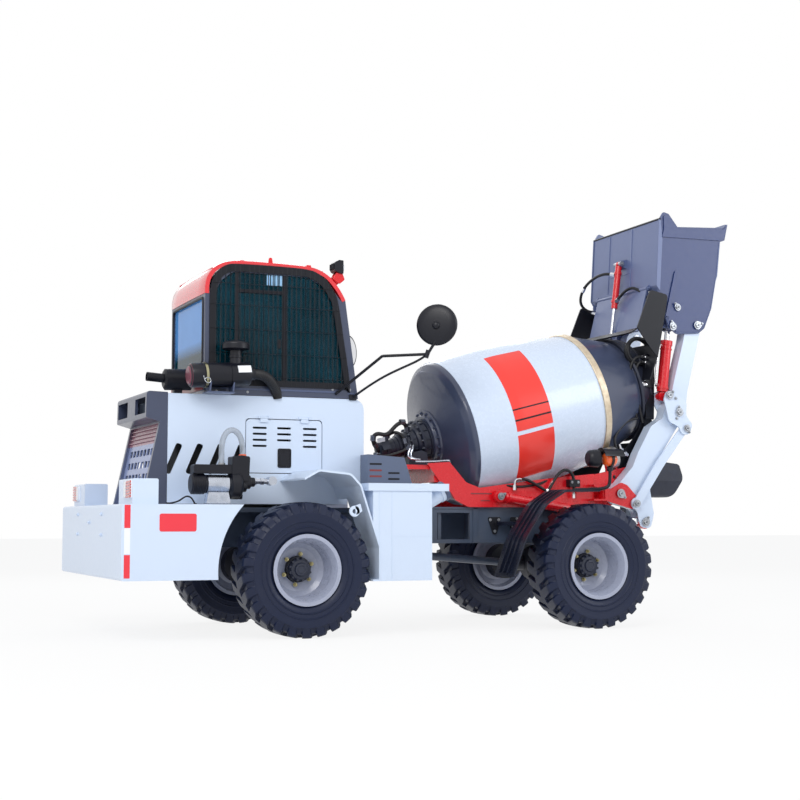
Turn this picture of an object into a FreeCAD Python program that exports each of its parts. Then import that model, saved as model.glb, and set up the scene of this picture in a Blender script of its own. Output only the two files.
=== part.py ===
"""Self-loading concrete mixer: an articulated two-axle carrier with a cab and engine
behind the pivot, and a tilted drum with a loading bucket in front of it.

Millimetres.  +X points to the bucket, +Z up, and Y = 0 is the plane of symmetry, with the
operator's door on the +Y side.  Shapes are drawn from the steering pivot at X = 0 with the
ground at Z = 0, and are moved by -centre_x when they are written, so that the machine is
centred over the origin.
"""
import FreeCAD
import Part
import math
import os

# ---------------------------------------------------------------- driving dimensions
V = FreeCAD.Vector

# running gear
half_base = 1203.0          # pivot to either axle
tyre_r = 485.0              # to the tips of the lugs
tyre_w = 332.0
track_half = 854.0          # centre plane of a tyre
rim_r = 253.0               # rim flange
rim_well_r = 205.0
axle_z = tyre_r
lug_rows = 26               # lugs in each of a tyre's two rows
carcass_r = 457.0           # tread between the lugs
tyre_in = track_half - tyre_w / 2
tyre_out = track_half + tyre_w / 2

# overall ends
cistern_back = -2560.0
bucket_lip_x = 2808.0
centre_x = (cistern_back + bucket_lip_x) / 2

# steering pivot
pivot_pin_r = 32.0
pivot_low = 655.0
pivot_high = 905.0
shaft_z = 562.0             # the drive shaft's joint, below the pivot

# drum
drum_x = 800.0              # a point on the drum's axis
drum_z = 1667.0
drum_tilt = 14.5            # mouth end raised
head_s = -504.0             # stations along the axis from that point
ring_s0 = 735.0
ring_s1 = 795.0
mouth_s = 1185.0
drum_max_r = 637.0
head_r = 593.0
ring_r = 580.0
band_r = 567.0
mouth_r = 430.0
drum_wall = 8.0
roller_r = 90.0
roller_w = 64.0
roller_turn = 40.0          # each side of the drum's lowest line

# loading arms and their pins, as X, Z
arm_pivot = (1690.0, 1060.0)
link_foot = (1834.0, 979.0)
lift_eye = (1940.0, 826.0)
lift_base = (600.0, 1031.0)
crank_pivot = (2250.0, 1745.0)
crank_top = (2154.0, 1886.0)
crank_low = (2322.0, 1612.0)
tilt_eye = (2225.0, 2475.0)
bucket_pin = (2470.0, 2497.0)
spare_pin = (2274.0, 2641.0)
gate_hinge = (2070.0, 2812.0)
gate_top_eye = (2039.0, 3081.0)
gate_low_eye = (1952.0, 2431.0)

# planes across the machine, as distances from Y = 0
arm_in = 408.0
arm_out = 518.0
tilt_y = 465.0
lift_y = 483.0
lug_in = 523.0
lug_out = 537.0
inner_lug_in = 385.0
inner_lug_out = 403.0
link_in = 542.0
link_out = 557.0
crank_in = 562.0
crank_out = 577.0
end_plate_in = 523.0
end_plate_out = 535.0
beam_in = 410.0
beam_out = 437.0
pin_r = 25.0
run = 0.05                  # radial clearance of a running pin
gate_half = 400.0
lashing_hole = (1720.0, 1200.0)
gate_pin_r = 11.0

# engine frame and its bodywork
hood_half = 480.0
hood_back = -2100.0
hood_front = -565.0
hood_low = 960.0
hood_top = 1765.0
sheet = 14.0
cab_half = 485.0
cab_back = -1832.0
cistern_half = 1074.0
cistern_low = 430.0
cistern_top = 950.0
arch_r = 680.0
tank_x0 = -710.0
tank_x1 = -240.0
tank_out = 1030.0
tank_in = 690.0
tank_low = 400.0
tank_top = 1055.0

# ---------------------------------------------------------------- building helpers
parts = {}


def keep(name, *shapes):
    """Store the shapes of one node, moved to the frame that is centred on the machine."""
    solids = []
    for shape in shapes:
        solids += shape.Solids
    body = solids[0] if len(solids) == 1 else Part.makeCompound(solids)
    body = body.copy()
    body.translate(V(-centre_x, 0, 0))
    parts[name] = body


def box(x0, x1, y0, y1, z0, z1):
    return Part.makeBox(x1 - x0, y1 - y0, z1 - z0, V(x0, y0, z0))


def rod(a, b, r):
    a, b = V(*a), V(*b)
    return Part.makeCylinder(r, (b - a).Length, a, b - a)


def pipe(a, b, r, bore):
    return rod(a, b, r).cut(rod(a, b, bore))


def pin_y(spot, r, y0, y1):
    """A cylinder across the machine at an (X, Z) spot."""
    return rod((spot[0], y0, spot[1]), (spot[0], y1, spot[1]), r)


def outline(points):
    """A closed wire in a plane; a point's third number rounds that corner."""
    edges = []
    count = len(points)
    starts, ends = [], []
    for i, point in enumerate(points):
        here = V(point[0], point[1], 0)
        before = V(*points[i - 1][:2], 0) - here
        after = V(*points[(i + 1) % count][:2], 0) - here
        radius = point[2] if len(point) > 2 else 0
        if radius:
            half = before.getAngle(after) / 2
            reach = radius / math.tan(half)
            a = here + before.normalize() * reach
            b = here + after.normalize() * reach
            inward = (before + after).normalize()
            middle = here + inward * (radius / math.sin(half) - radius)
            edges.append(("arc", a, middle, b))
        else:
            a = b = here
        starts.append(a)
        ends.append(b)
    loop = []
    arcs = iter([e for e in edges if e])
    for i, point in enumerate(points):
        if len(point) > 2 and point[2]:
            _, a, middle, b = next(arcs)
            loop.append(Part.Arc(a, middle, b).toShape())
        nxt = starts[(i + 1) % count]
        if (nxt - ends[i]).Length > 0.01:
            loop.append(Part.LineSegment(ends[i], nxt).toShape())
    return Part.Wire(loop)


def plate_y(points, y0, y1):
    """An (X, Z) outline made solid from y0 to y1."""
    face = Part.Face(outline(points))
    face.rotate(V(0, 0, 0), V(1, 0, 0), 90)
    face.translate(V(0, y0, 0))
    return face.extrude(V(0, y1 - y0, 0))


def plate_z(points, z0, z1):
    face = Part.Face(outline(points))
    face.translate(V(0, 0, z0))
    return face.extrude(V(0, 0, z1 - z0))


def plate_x(points, x0, x1):
    """A (Y, Z) outline made solid from x0 to x1."""
    face = Part.Face(outline(points))
    face.rotate(V(0, 0, 0), V(1, 1, 1), 120)
    face.translate(V(x0, 0, 0))
    return face.extrude(V(x1 - x0, 0, 0))


def turned(points, at=(0, 0, 0), axis="x", lean=0.0):
    """A (station, radius) outline turned about an axis, then leaned up about Y."""
    face = Part.Face(outline(points))
    solid = face.revolve(V(0, 0, 0), V(1, 0, 0), 360)
    if axis == "y":
        solid.rotate(V(0, 0, 0), V(0, 0, 1), 90)
    if axis == "z":
        solid.rotate(V(0, 0, 0), V(0, 1, 0), -90)
    solid.rotate(V(0, 0, 0), V(0, 1, 0), -lean)
    solid.translate(V(*at))
    return solid


def mirrored(shape):
    return shape.mirror(V(0, 0, 0), V(0, 1, 0))


def both(shape):
    return Part.makeCompound([shape, mirrored(shape)])


def joined(*shapes):
    solid = shapes[0]
    for shape in shapes[1:]:
        solid = solid.fuse(shape)
    return solid.removeSplitter()


def minus(shape, *tools):
    for tool in tools:
        shape = shape.cut(tool)
    return shape


def toward(a, b, reach):
    """The (X, Z) point that lies reach from a on the way to b."""
    length = math.hypot(b[0] - a[0], b[1] - a[1])
    return (a[0] + (b[0] - a[0]) * reach / length, a[1] + (b[1] - a[1]) * reach / length)


def on_drum(s, across=0.0, up=0.0):
    """A point by its station along the drum's axis, its Y, and its height square to it."""
    c, n = math.cos(math.radians(drum_tilt)), math.sin(math.radians(drum_tilt))
    return (drum_x + s * c - up * n, across, drum_z + s * n + up * c)


# ---------------------------------------------------------------- running gear
def faceted_ring(points, count):
    """A ring about the Y axis with flat sides, from its (Y, radius) outline."""
    step = 2 * math.pi / count
    at = lambda p, k: V(p[1] * math.sin((k + 0.5) * step), p[0], -p[1] * math.cos((k + 0.5) * step))
    faces = []
    for k in range(count):
        for i, p in enumerate(points):
            q = points[i - 1]
            faces.append(Part.Face(Part.makePolygon([at(p, k), at(q, k), at(q, k + 1),
                                                     at(p, k + 1), at(p, k)])))
    ring = Part.Solid(Part.Shell(faces))
    if ring.Volume < 0:
        ring.reverse()
    return ring


def lugged_tyre():
    """A flat-sided casing with two rows of raked blocks, half a pitch apart."""
    w = tyre_w / 2
    bead = (rim_r - 8.4) / math.cos(math.pi / lug_rows)
    casing = faceted_ring([(-w + 34, bead), (-w + 6, rim_r + 42), (-w, tyre_r - 108),
                           (-w + 22, carcass_r), (w - 22, carcass_r), (w, tyre_r - 108),
                           (w - 6, rim_r + 42), (w - 34, bead)], lug_rows)
    pitch = 360.0 / lug_rows
    block = plate_z([(-17, -14), (21, -14), (25, -w + 13), (-25, -w + 13)], -tyre_r, -tyre_r + 66)
    lugs = []
    for row in (0, 1):
        for k in range(lug_rows):
            lug = mirrored(block) if row else block.copy()
            lug.rotate(V(0, 0, 0), V(0, 1, 0), -pitch * (k + 0.5 * row))
            lugs.append(lug)
    casing.rotate(V(0, 0, 0), V(0, 1, 0), -pitch / 4)
    return casing.multiFuse(lugs).removeSplitter()


def wheel(name, x, side):
    """A tyre and its deep rim; side is -1 on the near side and 1 on the door side."""
    w = tyre_w / 2
    tyre = lugged_tyre()
    rim = turned([(-w + 30, rim_r - 8), (w - 30, rim_r - 8), (w - 14, rim_r + 4),
                  (w - 14, rim_r - 24), (w - 40, rim_r - 36), (w - 75, rim_well_r),
                  (-w + 120, rim_well_r - 12), (-w + 96, 158), (-w + 84, 96),
                  (-w + 70, 96), (-w + 84, 164), (-w + 70, rim_well_r + 6),
                  (-w + 14, rim_r - 24), (-w + 14, rim_r + 4)], axis="y")
    rim = minus(rim, tyre)
    for piece in (tyre, rim):
        if side < 0:
            piece.rotate(V(0, 0, 0), V(0, 0, 1), 180)
        piece.translate(V(x, side * track_half, axle_z))
    keep("tyre_" + name, tyre)
    keep("rim_" + name, rim)
    return rim


def axle(name, x, toward_pivot):
    """A rigid axle: banjo housing, tubes, hubs with studs, and saddles for the frame."""
    tube = joined(pin_y((x, axle_z), 62, -560, 560),
                  turned([(-150, 0), (-150, 60, 20), (-70, 150, 60), (70, 150, 60),
                          (150, 60, 20), (150, 0)], at=(x, 0, axle_z), axis="y"),
                  rod((x, 0, axle_z), (x + toward_pivot * 210, 0, axle_z), 60))
    for side in (-1, 1):
        tube = joined(tube,
                      pin_y((x, axle_z), 150, *sorted((side * 560, side * 680))),
                      pin_y((x, axle_z), 92, *sorted((side * 680, side * 812))),
                      box(x - 70, x + 70, *sorted((side * 262, side * 322)), axle_z + 40, 640))
    keep(name, tube)


rims = {}
for end, x in (("rear", -half_base), ("front", half_base)):
    for side_name, side in (("near", -1), ("door", 1)):
        rims[end + side_name] = wheel(end + "_" + side_name, x, side)
axle("rear_axle", -half_base, 1)
axle("front_axle", half_base, -1)

# ---------------------------------------------------------------- chassis of the engine end
rail = plate_y([(-2150, 640), (-200, 640), (-110, 700), (-110, 860), (-200, 900),
                (-2150, 900)], 240, 270)
rear_frame = joined(
    rail, mirrored(rail),
    box(-2150, -2120, -240, 240, 640, 900),
    box(-700, -670, -240, 240, 640, 900),
    box(-1500, -1470, -240, 240, 700, 900),
    plate_z([(-260, -240), (-110, -240, 20), (70, -90, 70), (70, 90, 70), (-110, 240, 20),
             (-260, 240)], pivot_high, pivot_high + 32),
    plate_z([(-260, -240), (-110, -240, 20), (70, -90, 70), (70, 90, 70), (-110, 240, 20),
             (-260, 240)], pivot_low - 32, pivot_low),
    box(-230, -200, -240, 240, pivot_low - 32, pivot_high + 32),
    rod((0, 0, pivot_low - 45), (0, 0, pivot_high + 45), pivot_pin_r))
deck = box(-2135, -580, -470, 470, 900, 935)
outrigger = box(-690, -590, -tank_in, tank_in, 900, 935)
rear_frame = joined(rear_frame, deck, outrigger)
transfer = joined(plate_y([(-640, 560, 40), (-640, 800, 20), (-400, 800, 20), (-400, 540, 60)], -110, 110),
                  box(-670, -640, -240, 240, 700, 780), box(-520, -480, -240, 240, 760, 800),
                  rod((-430, 0, 592), (-352, 0, 588), 58))
rear_shaft = minus(joined(rod((-1010, 0, axle_z - 5), (-630, 0, 602), 32),
                          rod((-960, 0, 497), (-925, 0, 508), 48), rod((-690, 0, 583), (-655, 0, 594), 48)),
                   rod((-1200, 0, axle_z), (-993, 0, axle_z), 61))
front_shaft = joined(rod((-360, 0, 588), (-40, 0, shaft_z), 32), Part.makeSphere(44, V(0, 0, shaft_z)))
rear_frame = joined(rear_frame, transfer, rear_shaft, front_shaft)
keep("rear_frame", rear_frame)

# ---------------------------------------------------------------- cistern, lamp boxes
cistern = plate_y([(cistern_back, cistern_low, 20), (cistern_back, cistern_top, 20),
                   (-1600, cistern_top), (-1600, cistern_low)], -cistern_half, cistern_half)
cistern = minus(cistern, pin_y((-half_base, axle_z), arch_r, -1200, 1200),
                box(-2155, -1500, -275, 275, 600, 960))
lamp_box = plate_y([(-2478, 945), (-2478, 1125, 12), (-2298, 1125, 12), (-2298, 945)],
                   -1030, -610)
lamp_box = joined(lamp_box, plate_x([(-980, 992, 12), (-812, 992, 12), (-812, 1110, 12), (-980, 1110, 12)],
                                    -2488, -2476))
keep("cistern", joined(minus(cistern, box(-2140, -500, -475, 475, 899, 960)),
                       lamp_box, mirrored(lamp_box)))

# ---------------------------------------------------------------- grille housing and hood
side_shape = [(-2102, 1772), (-2258, 1777, 25), (-2262, 1585, 12), (-2158, 1555),
              (-2285, 952), (-2102, 952)]
housing = plate_y(side_shape, -hood_half, hood_half)
housing = minus(housing, plate_y([(-2080, 1745), (-2236, 1752), (-2240, 1610), (-2130, 1580),
                                  (-2255, 975), (-2255, 900), (-2080, 900)],
                                 -hood_half + 40, hood_half - 40),
                box(-2400, -2200, -444, -124, 1618, 1735), box(-2400, -2200, 124, 444, 1618, 1735),
                box(-2330, -2120, -hood_half + 40, hood_half - 40, 955, 1545))
grille = joined(plate_y([(-2168, 1400), (-2156, 1400), (-2246, 955), (-2258, 955)],
                        -hood_half + 40, hood_half - 40),
                plate_y([(-2134, 1545), (-2122, 1545), (-2150, 1400), (-2168, 1400)],
                        -hood_half + 40, hood_half - 40))
for z in (1343, 1251, 1159, 1067):
    for k in range(7):
        y = 110 * (k - 3)
        grille = minus(grille, plate_x([(y - 42, z - 15), (y - 32, z - 25), (y + 32, z - 25), (y + 42, z - 15),
                                        (y + 42, z + 15), (y + 32, z + 25), (y - 32, z + 25), (y - 42, z + 15)],
                                       -2300, -2120))
for z in (1520, 1490, 1460, 1430):
    grille = joined(grille, plate_y([(-2172 + (z - 1430) * 0.2, z - 4), (-2172 + (z - 1430) * 0.2, z + 2),
                                     (-2140 + (z - 1430) * 0.2, z + 12), (-2140 + (z - 1430) * 0.2, z + 6)],
                                    -hood_half + 41, hood_half - 41))
keep("grille_housing", joined(housing, grille))

hood = plate_y([(hood_back, hood_low), (hood_back, hood_top), (hood_front, hood_top, 80),
                (hood_front, 1140), (-700, 1010), (-700, hood_low)], -hood_half, hood_half)
hood = minus(hood, plate_y([(hood_back - 10, hood_low - 20), (hood_back - 10, hood_top - sheet),
                            (hood_front - sheet, hood_top - sheet, 70),
                            (hood_front - sheet, 1150), (-714, 1020), (-714, hood_low - 20)],
                           -hood_half + sheet, hood_half - sheet))
hatch_x0, hatch_x1, hatch_z0, hatch_z1 = -1509.0, -906.0, 1190.0, 1594.0
for k in range(4):
    x = -2103 + 157 * k
    slot = plate_y([(x - 22, 1185, 18), (x + 25, 1172, 18), (x + 118, 1390, 18),
                    (x + 70, 1404, 18)], -hood_half - 10, -hood_half + 40)
    hood = minus(hood, slot, mirrored(slot))
hood = minus(hood, plate_y([(hatch_x0 - 3, hatch_z0 - 3, 30), (hatch_x1 + 3, hatch_z0 - 3, 30),
                            (hatch_x1 + 3, hatch_z1 + 3, 30), (hatch_x0 - 3, hatch_z1 + 3, 30)],
                           -hood_half - 10, -hood_half + sheet + 5))
for z in (1270, 1610):
    hood = joined(hood, rod((-620, hood_half - 5, z), (-620, hood_half + 52, z), 11))
hood = joined(hood, rod((-620, hood_half + 48, 1240), (-620, hood_half + 48, 1640), 13))
hatch_hinge = (-hood_half - 8, 1603.0)
for x in (-1400, -1080):
    for low in (x - 16, x + 62):
        hood = joined(hood, box(low, low + 14, -hood_half - 16, -hood_half + 2, 1598, 1614))
    hood = joined(hood, rod((x - 10, *hatch_hinge), (x + 70, *hatch_hinge), 4))
keep("hood", hood)

hatch = plate_y([(hatch_x0 + 3, hatch_z0 + 3, 30), (hatch_x1 - 3, hatch_z0 + 3, 30),
                 (hatch_x1 - 3, hatch_z1 - 3, 30), (hatch_x0 + 3, hatch_z1 - 3, 30)],
                -hood_half, -hood_half + sheet)
for column, rows in ((-1400, 4), (-1209, 3), (-1004, 4)):
    for row in range(rows):
        z = 1528 - 45 * row
        hatch = minus(hatch, plate_y([(column - 55, z - 8, 7), (column + 55, z - 8, 7),
                                      (column + 55, z + 8, 7), (column - 55, z + 8, 7)],
                                     -hood_half - 5, -hood_half + sheet + 5))
for x in (-1400, -1080):
    knuckle = joined(rod((x + 1, *hatch_hinge), (x + 59, *hatch_hinge), 7.5),
                     box(x + 1, x + 59, -hood_half - 12, -hood_half - 1.5, 1570, 1600),
                     box(x + 1, x + 59, -hood_half - 12, -hood_half + 4, 1570, 1588))
    hatch = joined(hatch, minus(knuckle, rod((x, *hatch_hinge), (x + 60, *hatch_hinge), 4 + run)))
keep("hood_hatch", hatch)

# ---------------------------------------------------------------- engine under the hood
keep("engine", joined(box(-1980, -1100, -260, 260, 935, 1600),
                      box(-2070, -2010, -400, 400, 935, 1640),
                      box(-2011, -1979, -200, 200, 1000, 1500)))

# ---------------------------------------------------------------- cab
cab_front_low = (-615.0, 1768.0)
cab_shape = [(cab_back, 1768), (cab_back, 2526), (-1774, 2690, 90), (-1644, 2768, 200),
             (-1010, 2764, 200), (-847, 2684, 90), (-723, 2532), cab_front_low]
roof_edge = [(cab_back, 2526), (-1774, 2690, 90), (-1644, 2768, 200), (-1010, 2764, 200),
             (-847, 2684, 90), (-723, 2532), (-760, 2522), (-868, 2652, 70),
             (-1016, 2728, 180), (-1638, 2732, 180), (-1750, 2662, 70), (cab_back + 32, 2522)]
roof = plate_y(roof_edge, -cab_half, cab_half)
keep("cab_roof", roof)
shell = plate_y(cab_shape, -cab_half, cab_half)
shell = minus(shell, plate_y([(cab_back + 40, 1800), (cab_back + 40, 2520), (-1748, 2656, 60),
                              (-1636, 2722, 160), (-1018, 2718, 160), (-872, 2646, 60),
                              (-763, 2518), (-662, 1800)],
                             -cab_half + 40, cab_half - 40), roof)
side_window = [(-1770, 1870, 30), (-1770, 2500, 60), (-1710, 2620, 90), (-1620, 2690, 90),
               (-1030, 2686, 90), (-900, 2620, 90), (-812, 2500, 60), (-710, 1870, 30)]
shell = minus(shell, plate_y(side_window, -cab_half - 10, -cab_half + 60),
              plate_y([(-1770, 1802), (-1770, 2500, 60), (-1710, 2620, 90), (-1620, 2690, 90),
                       (-1030, 2686, 90), (-900, 2620, 90), (-812, 2500, 60), (-700, 1802)],
                      cab_half - 60, cab_half + 10),
              box(cab_back - 10, cab_back + 50, -430, 430, 2000, 2490),
              plate_x([(-420, 1880, 30), (420, 1880, 30), (420, 2480, 30), (-420, 2480, 30)],
                      -860, -500))
door_hinge = (-1766.0, cab_half + 12)
for z in (1990, 2390):
    for low in (z - 20, z + 82):
        shell = joined(shell, box(-1800, -1766, cab_half - 1, cab_half + 20, low, low + 18),
                       rod((*door_hinge, low), (*door_hinge, low + 18), 11))
    shell = joined(shell, rod((*door_hinge, z - 10), (*door_hinge, z + 90), 7))
keep("cab_shell", shell)

glass_near = plate_y(side_window, -cab_half + 15, -cab_half + 21)
glass_rear = box(cab_back + 14, cab_back + 20, -430, 430, 2000, 2490)
front_pane = plate_x([(-420, 1880, 30), (420, 1880, 30), (420, 2480, 30), (-420, 2480, 30)],
                     -860, -500)
slab = plate_y([(-735, 2480), (-729, 2480), (-645, 1880), (-651, 1880)], -420, 420)
keep("cab_glass", glass_near, glass_rear, slab.common(front_pane))

door_x0, door_x1 = -1766.0, -704.0
door_out = [(door_x0, 1806), (door_x0, 2500, 60), (-1708, 2616, 88), (-1620, 2686, 88),
            (-1030, 2682, 88), (-902, 2616, 88), (-816, 2500, 60), (door_x1, 1806)]
door_in = [(-1716, 1960, 30), (-1716, 2490, 50), (-1672, 2576, 70), (-1600, 2636, 70),
           (-1050, 2632, 70), (-942, 2580, 70), (-862, 2490, 50), (-778, 1960, 30)]
door = plate_y(door_out, cab_half - 38, cab_half - 2)
door = minus(door, plate_y(door_in, cab_half - 60, cab_half + 20))
for z in (1990, 2390):
    knuckle = joined(rod((*door_hinge, z + 1), (*door_hinge, z + 79), 11.5),
                     box(-1766, -1735, cab_half - 3, cab_half + 8, z + 1, z + 79))
    door = joined(door, minus(knuckle, rod((*door_hinge, z), (*door_hinge, z + 80), 7 + run)))
keep("cab_door", door)
keep("door_glass", plate_y(door_in, cab_half - 23, cab_half - 17))

guard = []
for k in range(21):
    x = -1755 + 50 * k
    guard.append(box(x - 4, x + 4, -cab_half - 12, -cab_half - 4, 1850, 2700))
bars = guard[0]
for bar in guard[1:]:
    bars = bars.fuse(bar)
for z in (1855, 2150, 2450):
    bars = bars.fuse(box(-1790, -600, -cab_half - 12, -cab_half - 4, z - 4, z + 4))
guard_shape = plate_y([(-1795, 1838), (-1795, 2500, 60), (-1730, 2640, 90), (-1630, 2716, 90),
                       (-1020, 2712, 90), (-880, 2640, 90), (-792, 2500, 60), (-684, 1838)],
                      -cab_half - 12, -cab_half)
rim_shape = minus(guard_shape, plate_y([(-1783, 1850), (-1783, 2497, 50), (-1720, 2632, 80),
                                        (-1626, 2702, 80), (-1024, 2698, 80), (-888, 2632, 80),
                                        (-804, 2497, 50), (-698, 1850)],
                                       -cab_half - 20, -cab_half + 10))
keep("window_guard", joined(rim_shape, bars.common(guard_shape)))

seat = joined(box(-1560, -1140, -240, 240, 1800, 2000),
                    plate_y([(-1560, 2000, 30), (-1640, 2480, 40), (-1540, 2500, 40),
                             (-1430, 2000)], -230, 230))
wheel_hub = (-960.0, 0.0, 2190.0)
column = joined(rod((-800, 0, 1830), wheel_hub, 38), box(-850, -760, -60, 60, 1800, 1840),
                turned([(-14, 170), (-14, 198), (14, 198), (14, 170)], at=wheel_hub, lean=110),
                rod((-960, -180, 2190), (-960, 180, 2190), 12))
keep("seat_and_wheel", seat, column)

# ---------------------------------------------------------------- intake, exhaust, pump
cleaner_z = 1905.0
cleaner_y = -600.0
cleaner = joined(turned([(0, 0), (0, 55), (4, 80), (22, 89), (104, 89), (104, 94), (126, 94), (126, 89),
                         (440, 89), (460, 80), (466, 46), (496, 46), (496, 0)],
                        at=(-1982, cleaner_y, cleaner_z - 19), lean=3.5),
                 turned([(0, 0), (0, 46), (160, 44), (160, 58), (168, 95), (212, 97), (232, 70), (236, 0)],
                        at=(-1630, cleaner_y, cleaner_z + 18), axis="z"),
                 box(-1860, -1640, -620, -540, 1735, 1830),
                 box(-1860, -1640, -620, -hood_half, 1690, 1735))
keep("air_cleaner", cleaner)
keep("exhaust", joined(turned([(0, 0), (0, 60), (12, 80), (205, 80), (217, 60), (217, 0)],
                              at=(-2068, -200, 1889), lean=1.5),
                       pipe((-2195, -200, 1908), (-2060, -200, 1898), 34, 31),
                       box(-1990, -1930, -230, -170, hood_top, 1850)))
pump_y = -760.0
pump = joined(turned([(0, 0), (0, 62), (8, 71), (116, 71), (116, 66), (280, 66), (280, 94), (350, 100),
                      (372, 84), (382, 48), (412, 46), (412, 0)], at=(-2004, pump_y, 1095), axis="x"),
              box(-1990, -1672, pump_y - 52, pump_y + 52, 1158, 1234),
              plate_y([(-1712, 1120), (-1585, 1120), (-1578, 1300), (-1712, 1300)], pump_y - 58, pump_y + 58),
              rod((-1600, pump_y, 1118), (-1380, pump_y, 1120), 22),
              rod((-1400, pump_y - 42, 1122), (-1400, pump_y + 30, 1122), 33),
              rod((-1645, pump_y, 1000), (-1645, pump_y, 1030), 42),
              plate_y([(-1880, 1050), (-1730, 1050), (-1712, 950), (-1900, 950)], pump_y - 70, pump_y + 70))
keep("water_pump", pump)

# ---------------------------------------------------------------- fenders, tanks, steps
fender_path = [(-1240, 1140), (-1125, 1205, 40), (-880, 1180, 60), (-800, 1095, 40),
               (-648, 640, 60), (-644, 412)]
fender_inner = [(-656, 412), (-660, 638, 60), (-812, 1088, 40), (-888, 1166, 50),
                (-1123, 1190, 40), (-1236, 1128)]
fender = plate_y(fender_path + fender_inner, -1030, -470)
fender = minus(fender, box(-1300, -500, -690, -400, 0, 1000), box(-1300, -560, -481, -400, 0, 2000))
keep("rear_fenders", both(fender))
tank = joined(box(tank_x0, tank_x1, -tank_out, -tank_in, tank_low, tank_top),
              plate_y([(-750, tank_top), (-750, 1110), (-105, 1110), (-105, tank_top)],
                      -tank_out - 10, -tank_in + 20))
tank = minus(tank, fender, plate_y(fender_path + [(-1300, 412), (-1300, 1140)], -1100, -400))
filler = joined(rod((-280, -860, 940), (-110, -860, 1035), 62),
                rod((-110, -860, 1035), (-85, -860, 1049), 68))
door_tank = mirrored(tank)
for z in (470, 770):        # treads below the door
    door_tank = joined(door_tank, box(-560, -290, tank_out - 1, cistern_half - 2, z, z + 30))
keep("side_tanks", joined(tank, filler), door_tank)
valve_cover = plate_y([(-595, 1110), (-595, 1338), (-298, 1318), (-231, 1110)], -650, -487)
keep("valve_cover", valve_cover)

# ---------------------------------------------------------------- mirrors, lamps
mirror_spot = (-171.0, -950.0, 2308.0)
mirror = joined(rod((-544, -800, 2071), (-234, -940, 2085), 11),
                rod((-234, -940, 2085), (-171, -975, 2200), 11),
                rod((mirror_spot[0], mirror_spot[1] - 20, mirror_spot[2]),
                    (mirror_spot[0] + 24, mirror_spot[1] + 12, mirror_spot[2]), 150))
near_arm = rod((-800, -487, 1800), (-544, -800, 2071), 11)
door_arm = rod((-652, -470, 1790), (-544, -800, 2071), 11)      # ahead of the door's sweep
keep("mirrors", joined(minus(near_arm, shell, hood), mirror),
     mirrored(joined(minus(door_arm, shell, hood), mirror)))
work_lamp = joined(plate_y([(-788, 2762, 12), (-716, 2742), (-716, 2846), (-788, 2834, 12)], -432, -328),
                   turned([(0, 0), (0, 48), (14, 48), (18, 40), (18, 0)], at=(-718, -380, 2794)),
                   plate_y([(-790, 2715), (-764, 2715), (-752, 2770), (-778, 2770)], -404, -356))
keep("work_lamps", both(minus(work_lamp, roof, shell)))

# ---------------------------------------------------------------- drum frame
side_plate = plate_y([(14, 660), (14, 945), (1600, 945), (1600, 790), (1400, 660)], 370, 400)
side_plate = minus(side_plate, box(91, 378, 360, 410, 690, 900))
ear = [(140, -370), (110, -370), (-70, -60, 50), (-70, 60, 50), (110, 370), (140, 370)]
front_frame = joined(
    side_plate, mirrored(side_plate),
    box(110, 140, -370, 370, 675, 945),
    plate_z(ear, pivot_high - 40, pivot_high - 6),
    plate_z(ear, pivot_low + 6, pivot_low + 40),
    box(700, 730, -370, 370, 675, 945),
    box(1080, 1320, -370, 370, 640, 700),
    box(1500, 1530, -370, 370, 800, 945),
    box(1530, 2130, -50, 50, 830, 900),
    box(2050, 2130, -50, 50, 900, 1020))
rear_end = minus(rod((52, 0, shaft_z), (1010, 0, axle_z - 2), 32), rod((993, 0, axle_z), (1200, 0, axle_z), 61))
front_frame = joined(front_frame, rear_end, rod((52, 0, shaft_z), (84, 0, shaft_z - 3), 48),
                     box(110, 140, -62, 62, 500, 690), rod((900, 0, 492), (935, 0, 490), 48))
front_frame = minus(front_frame, rod((0, 0, 600), (0, 0, 950), pivot_pin_r + run))
keep("front_frame", front_frame)

beam = plate_y([(0, 1275), (0, 1287), (185, 1300), (262, 1215, 40), (330, 1140, 60), (450, 1098),
                (985, 1170), (1500, 1222), (1500, 945), (350, 945, 60), (235, 1000, 40),
                (195, 1060), (100, 1140)], beam_in, beam_out)
inner_lug = plate_y([(1440, 1000), (1440, 1212), (1536, 1222), (1895, 1298, 20),
                     (1790, 1150, 30), (1770, 1000, 60), (1640, 945, 40), (1500, 945)],
                    inner_lug_in, inner_lug_out)
outer_lug = plate_y([(1546, 1003), (1546, 1110), (1600, 1095), (1700, 1151, 30),
                     (1757, 1130, 30), (1888, 1000, 44), (1866, 930, 44), (1780, 938, 20)],
                    lug_in, lug_out)
upper_flange = plate_y([(1440, 1117), (1440, 1133), (1595, 1096), (1595, 1080)], beam_out, lug_out)
lower_flange = box(1440, 1558, beam_out, lug_out, 1000, 1014)
tie = box(1534, 1558, beam_out, lug_in, 1010, 1104)
cradle_side = joined(beam, inner_lug, outer_lug, upper_flange, lower_flange, tie)
cradle = joined(cradle_side, mirrored(cradle_side),
                box(-233, 180, -beam_in, beam_in, 1240, 1275),
                box(1440, 1500, -beam_out, beam_out, 950, 1150),
                box(60, 110, -beam_in, beam_in, 1140, 1240))
cradle = minus(cradle, pin_y(arm_pivot, 55 + run, -arm_in, arm_in),
               pin_y(lashing_hole, 18, -arm_in, arm_in))
for side in (-1, 1):
    cradle = joined(cradle,
                    pin_y(link_foot, pin_r, *sorted((side * lug_in, side * (link_out + 8)))),
                    pin_y(lift_base, pin_r, *sorted((side * beam_out, side * (lift_y + 30)))),
                    pin_y(arm_pivot, pin_r, *sorted((side * (arm_in + 4), side * (lug_out + 12)))))

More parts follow.
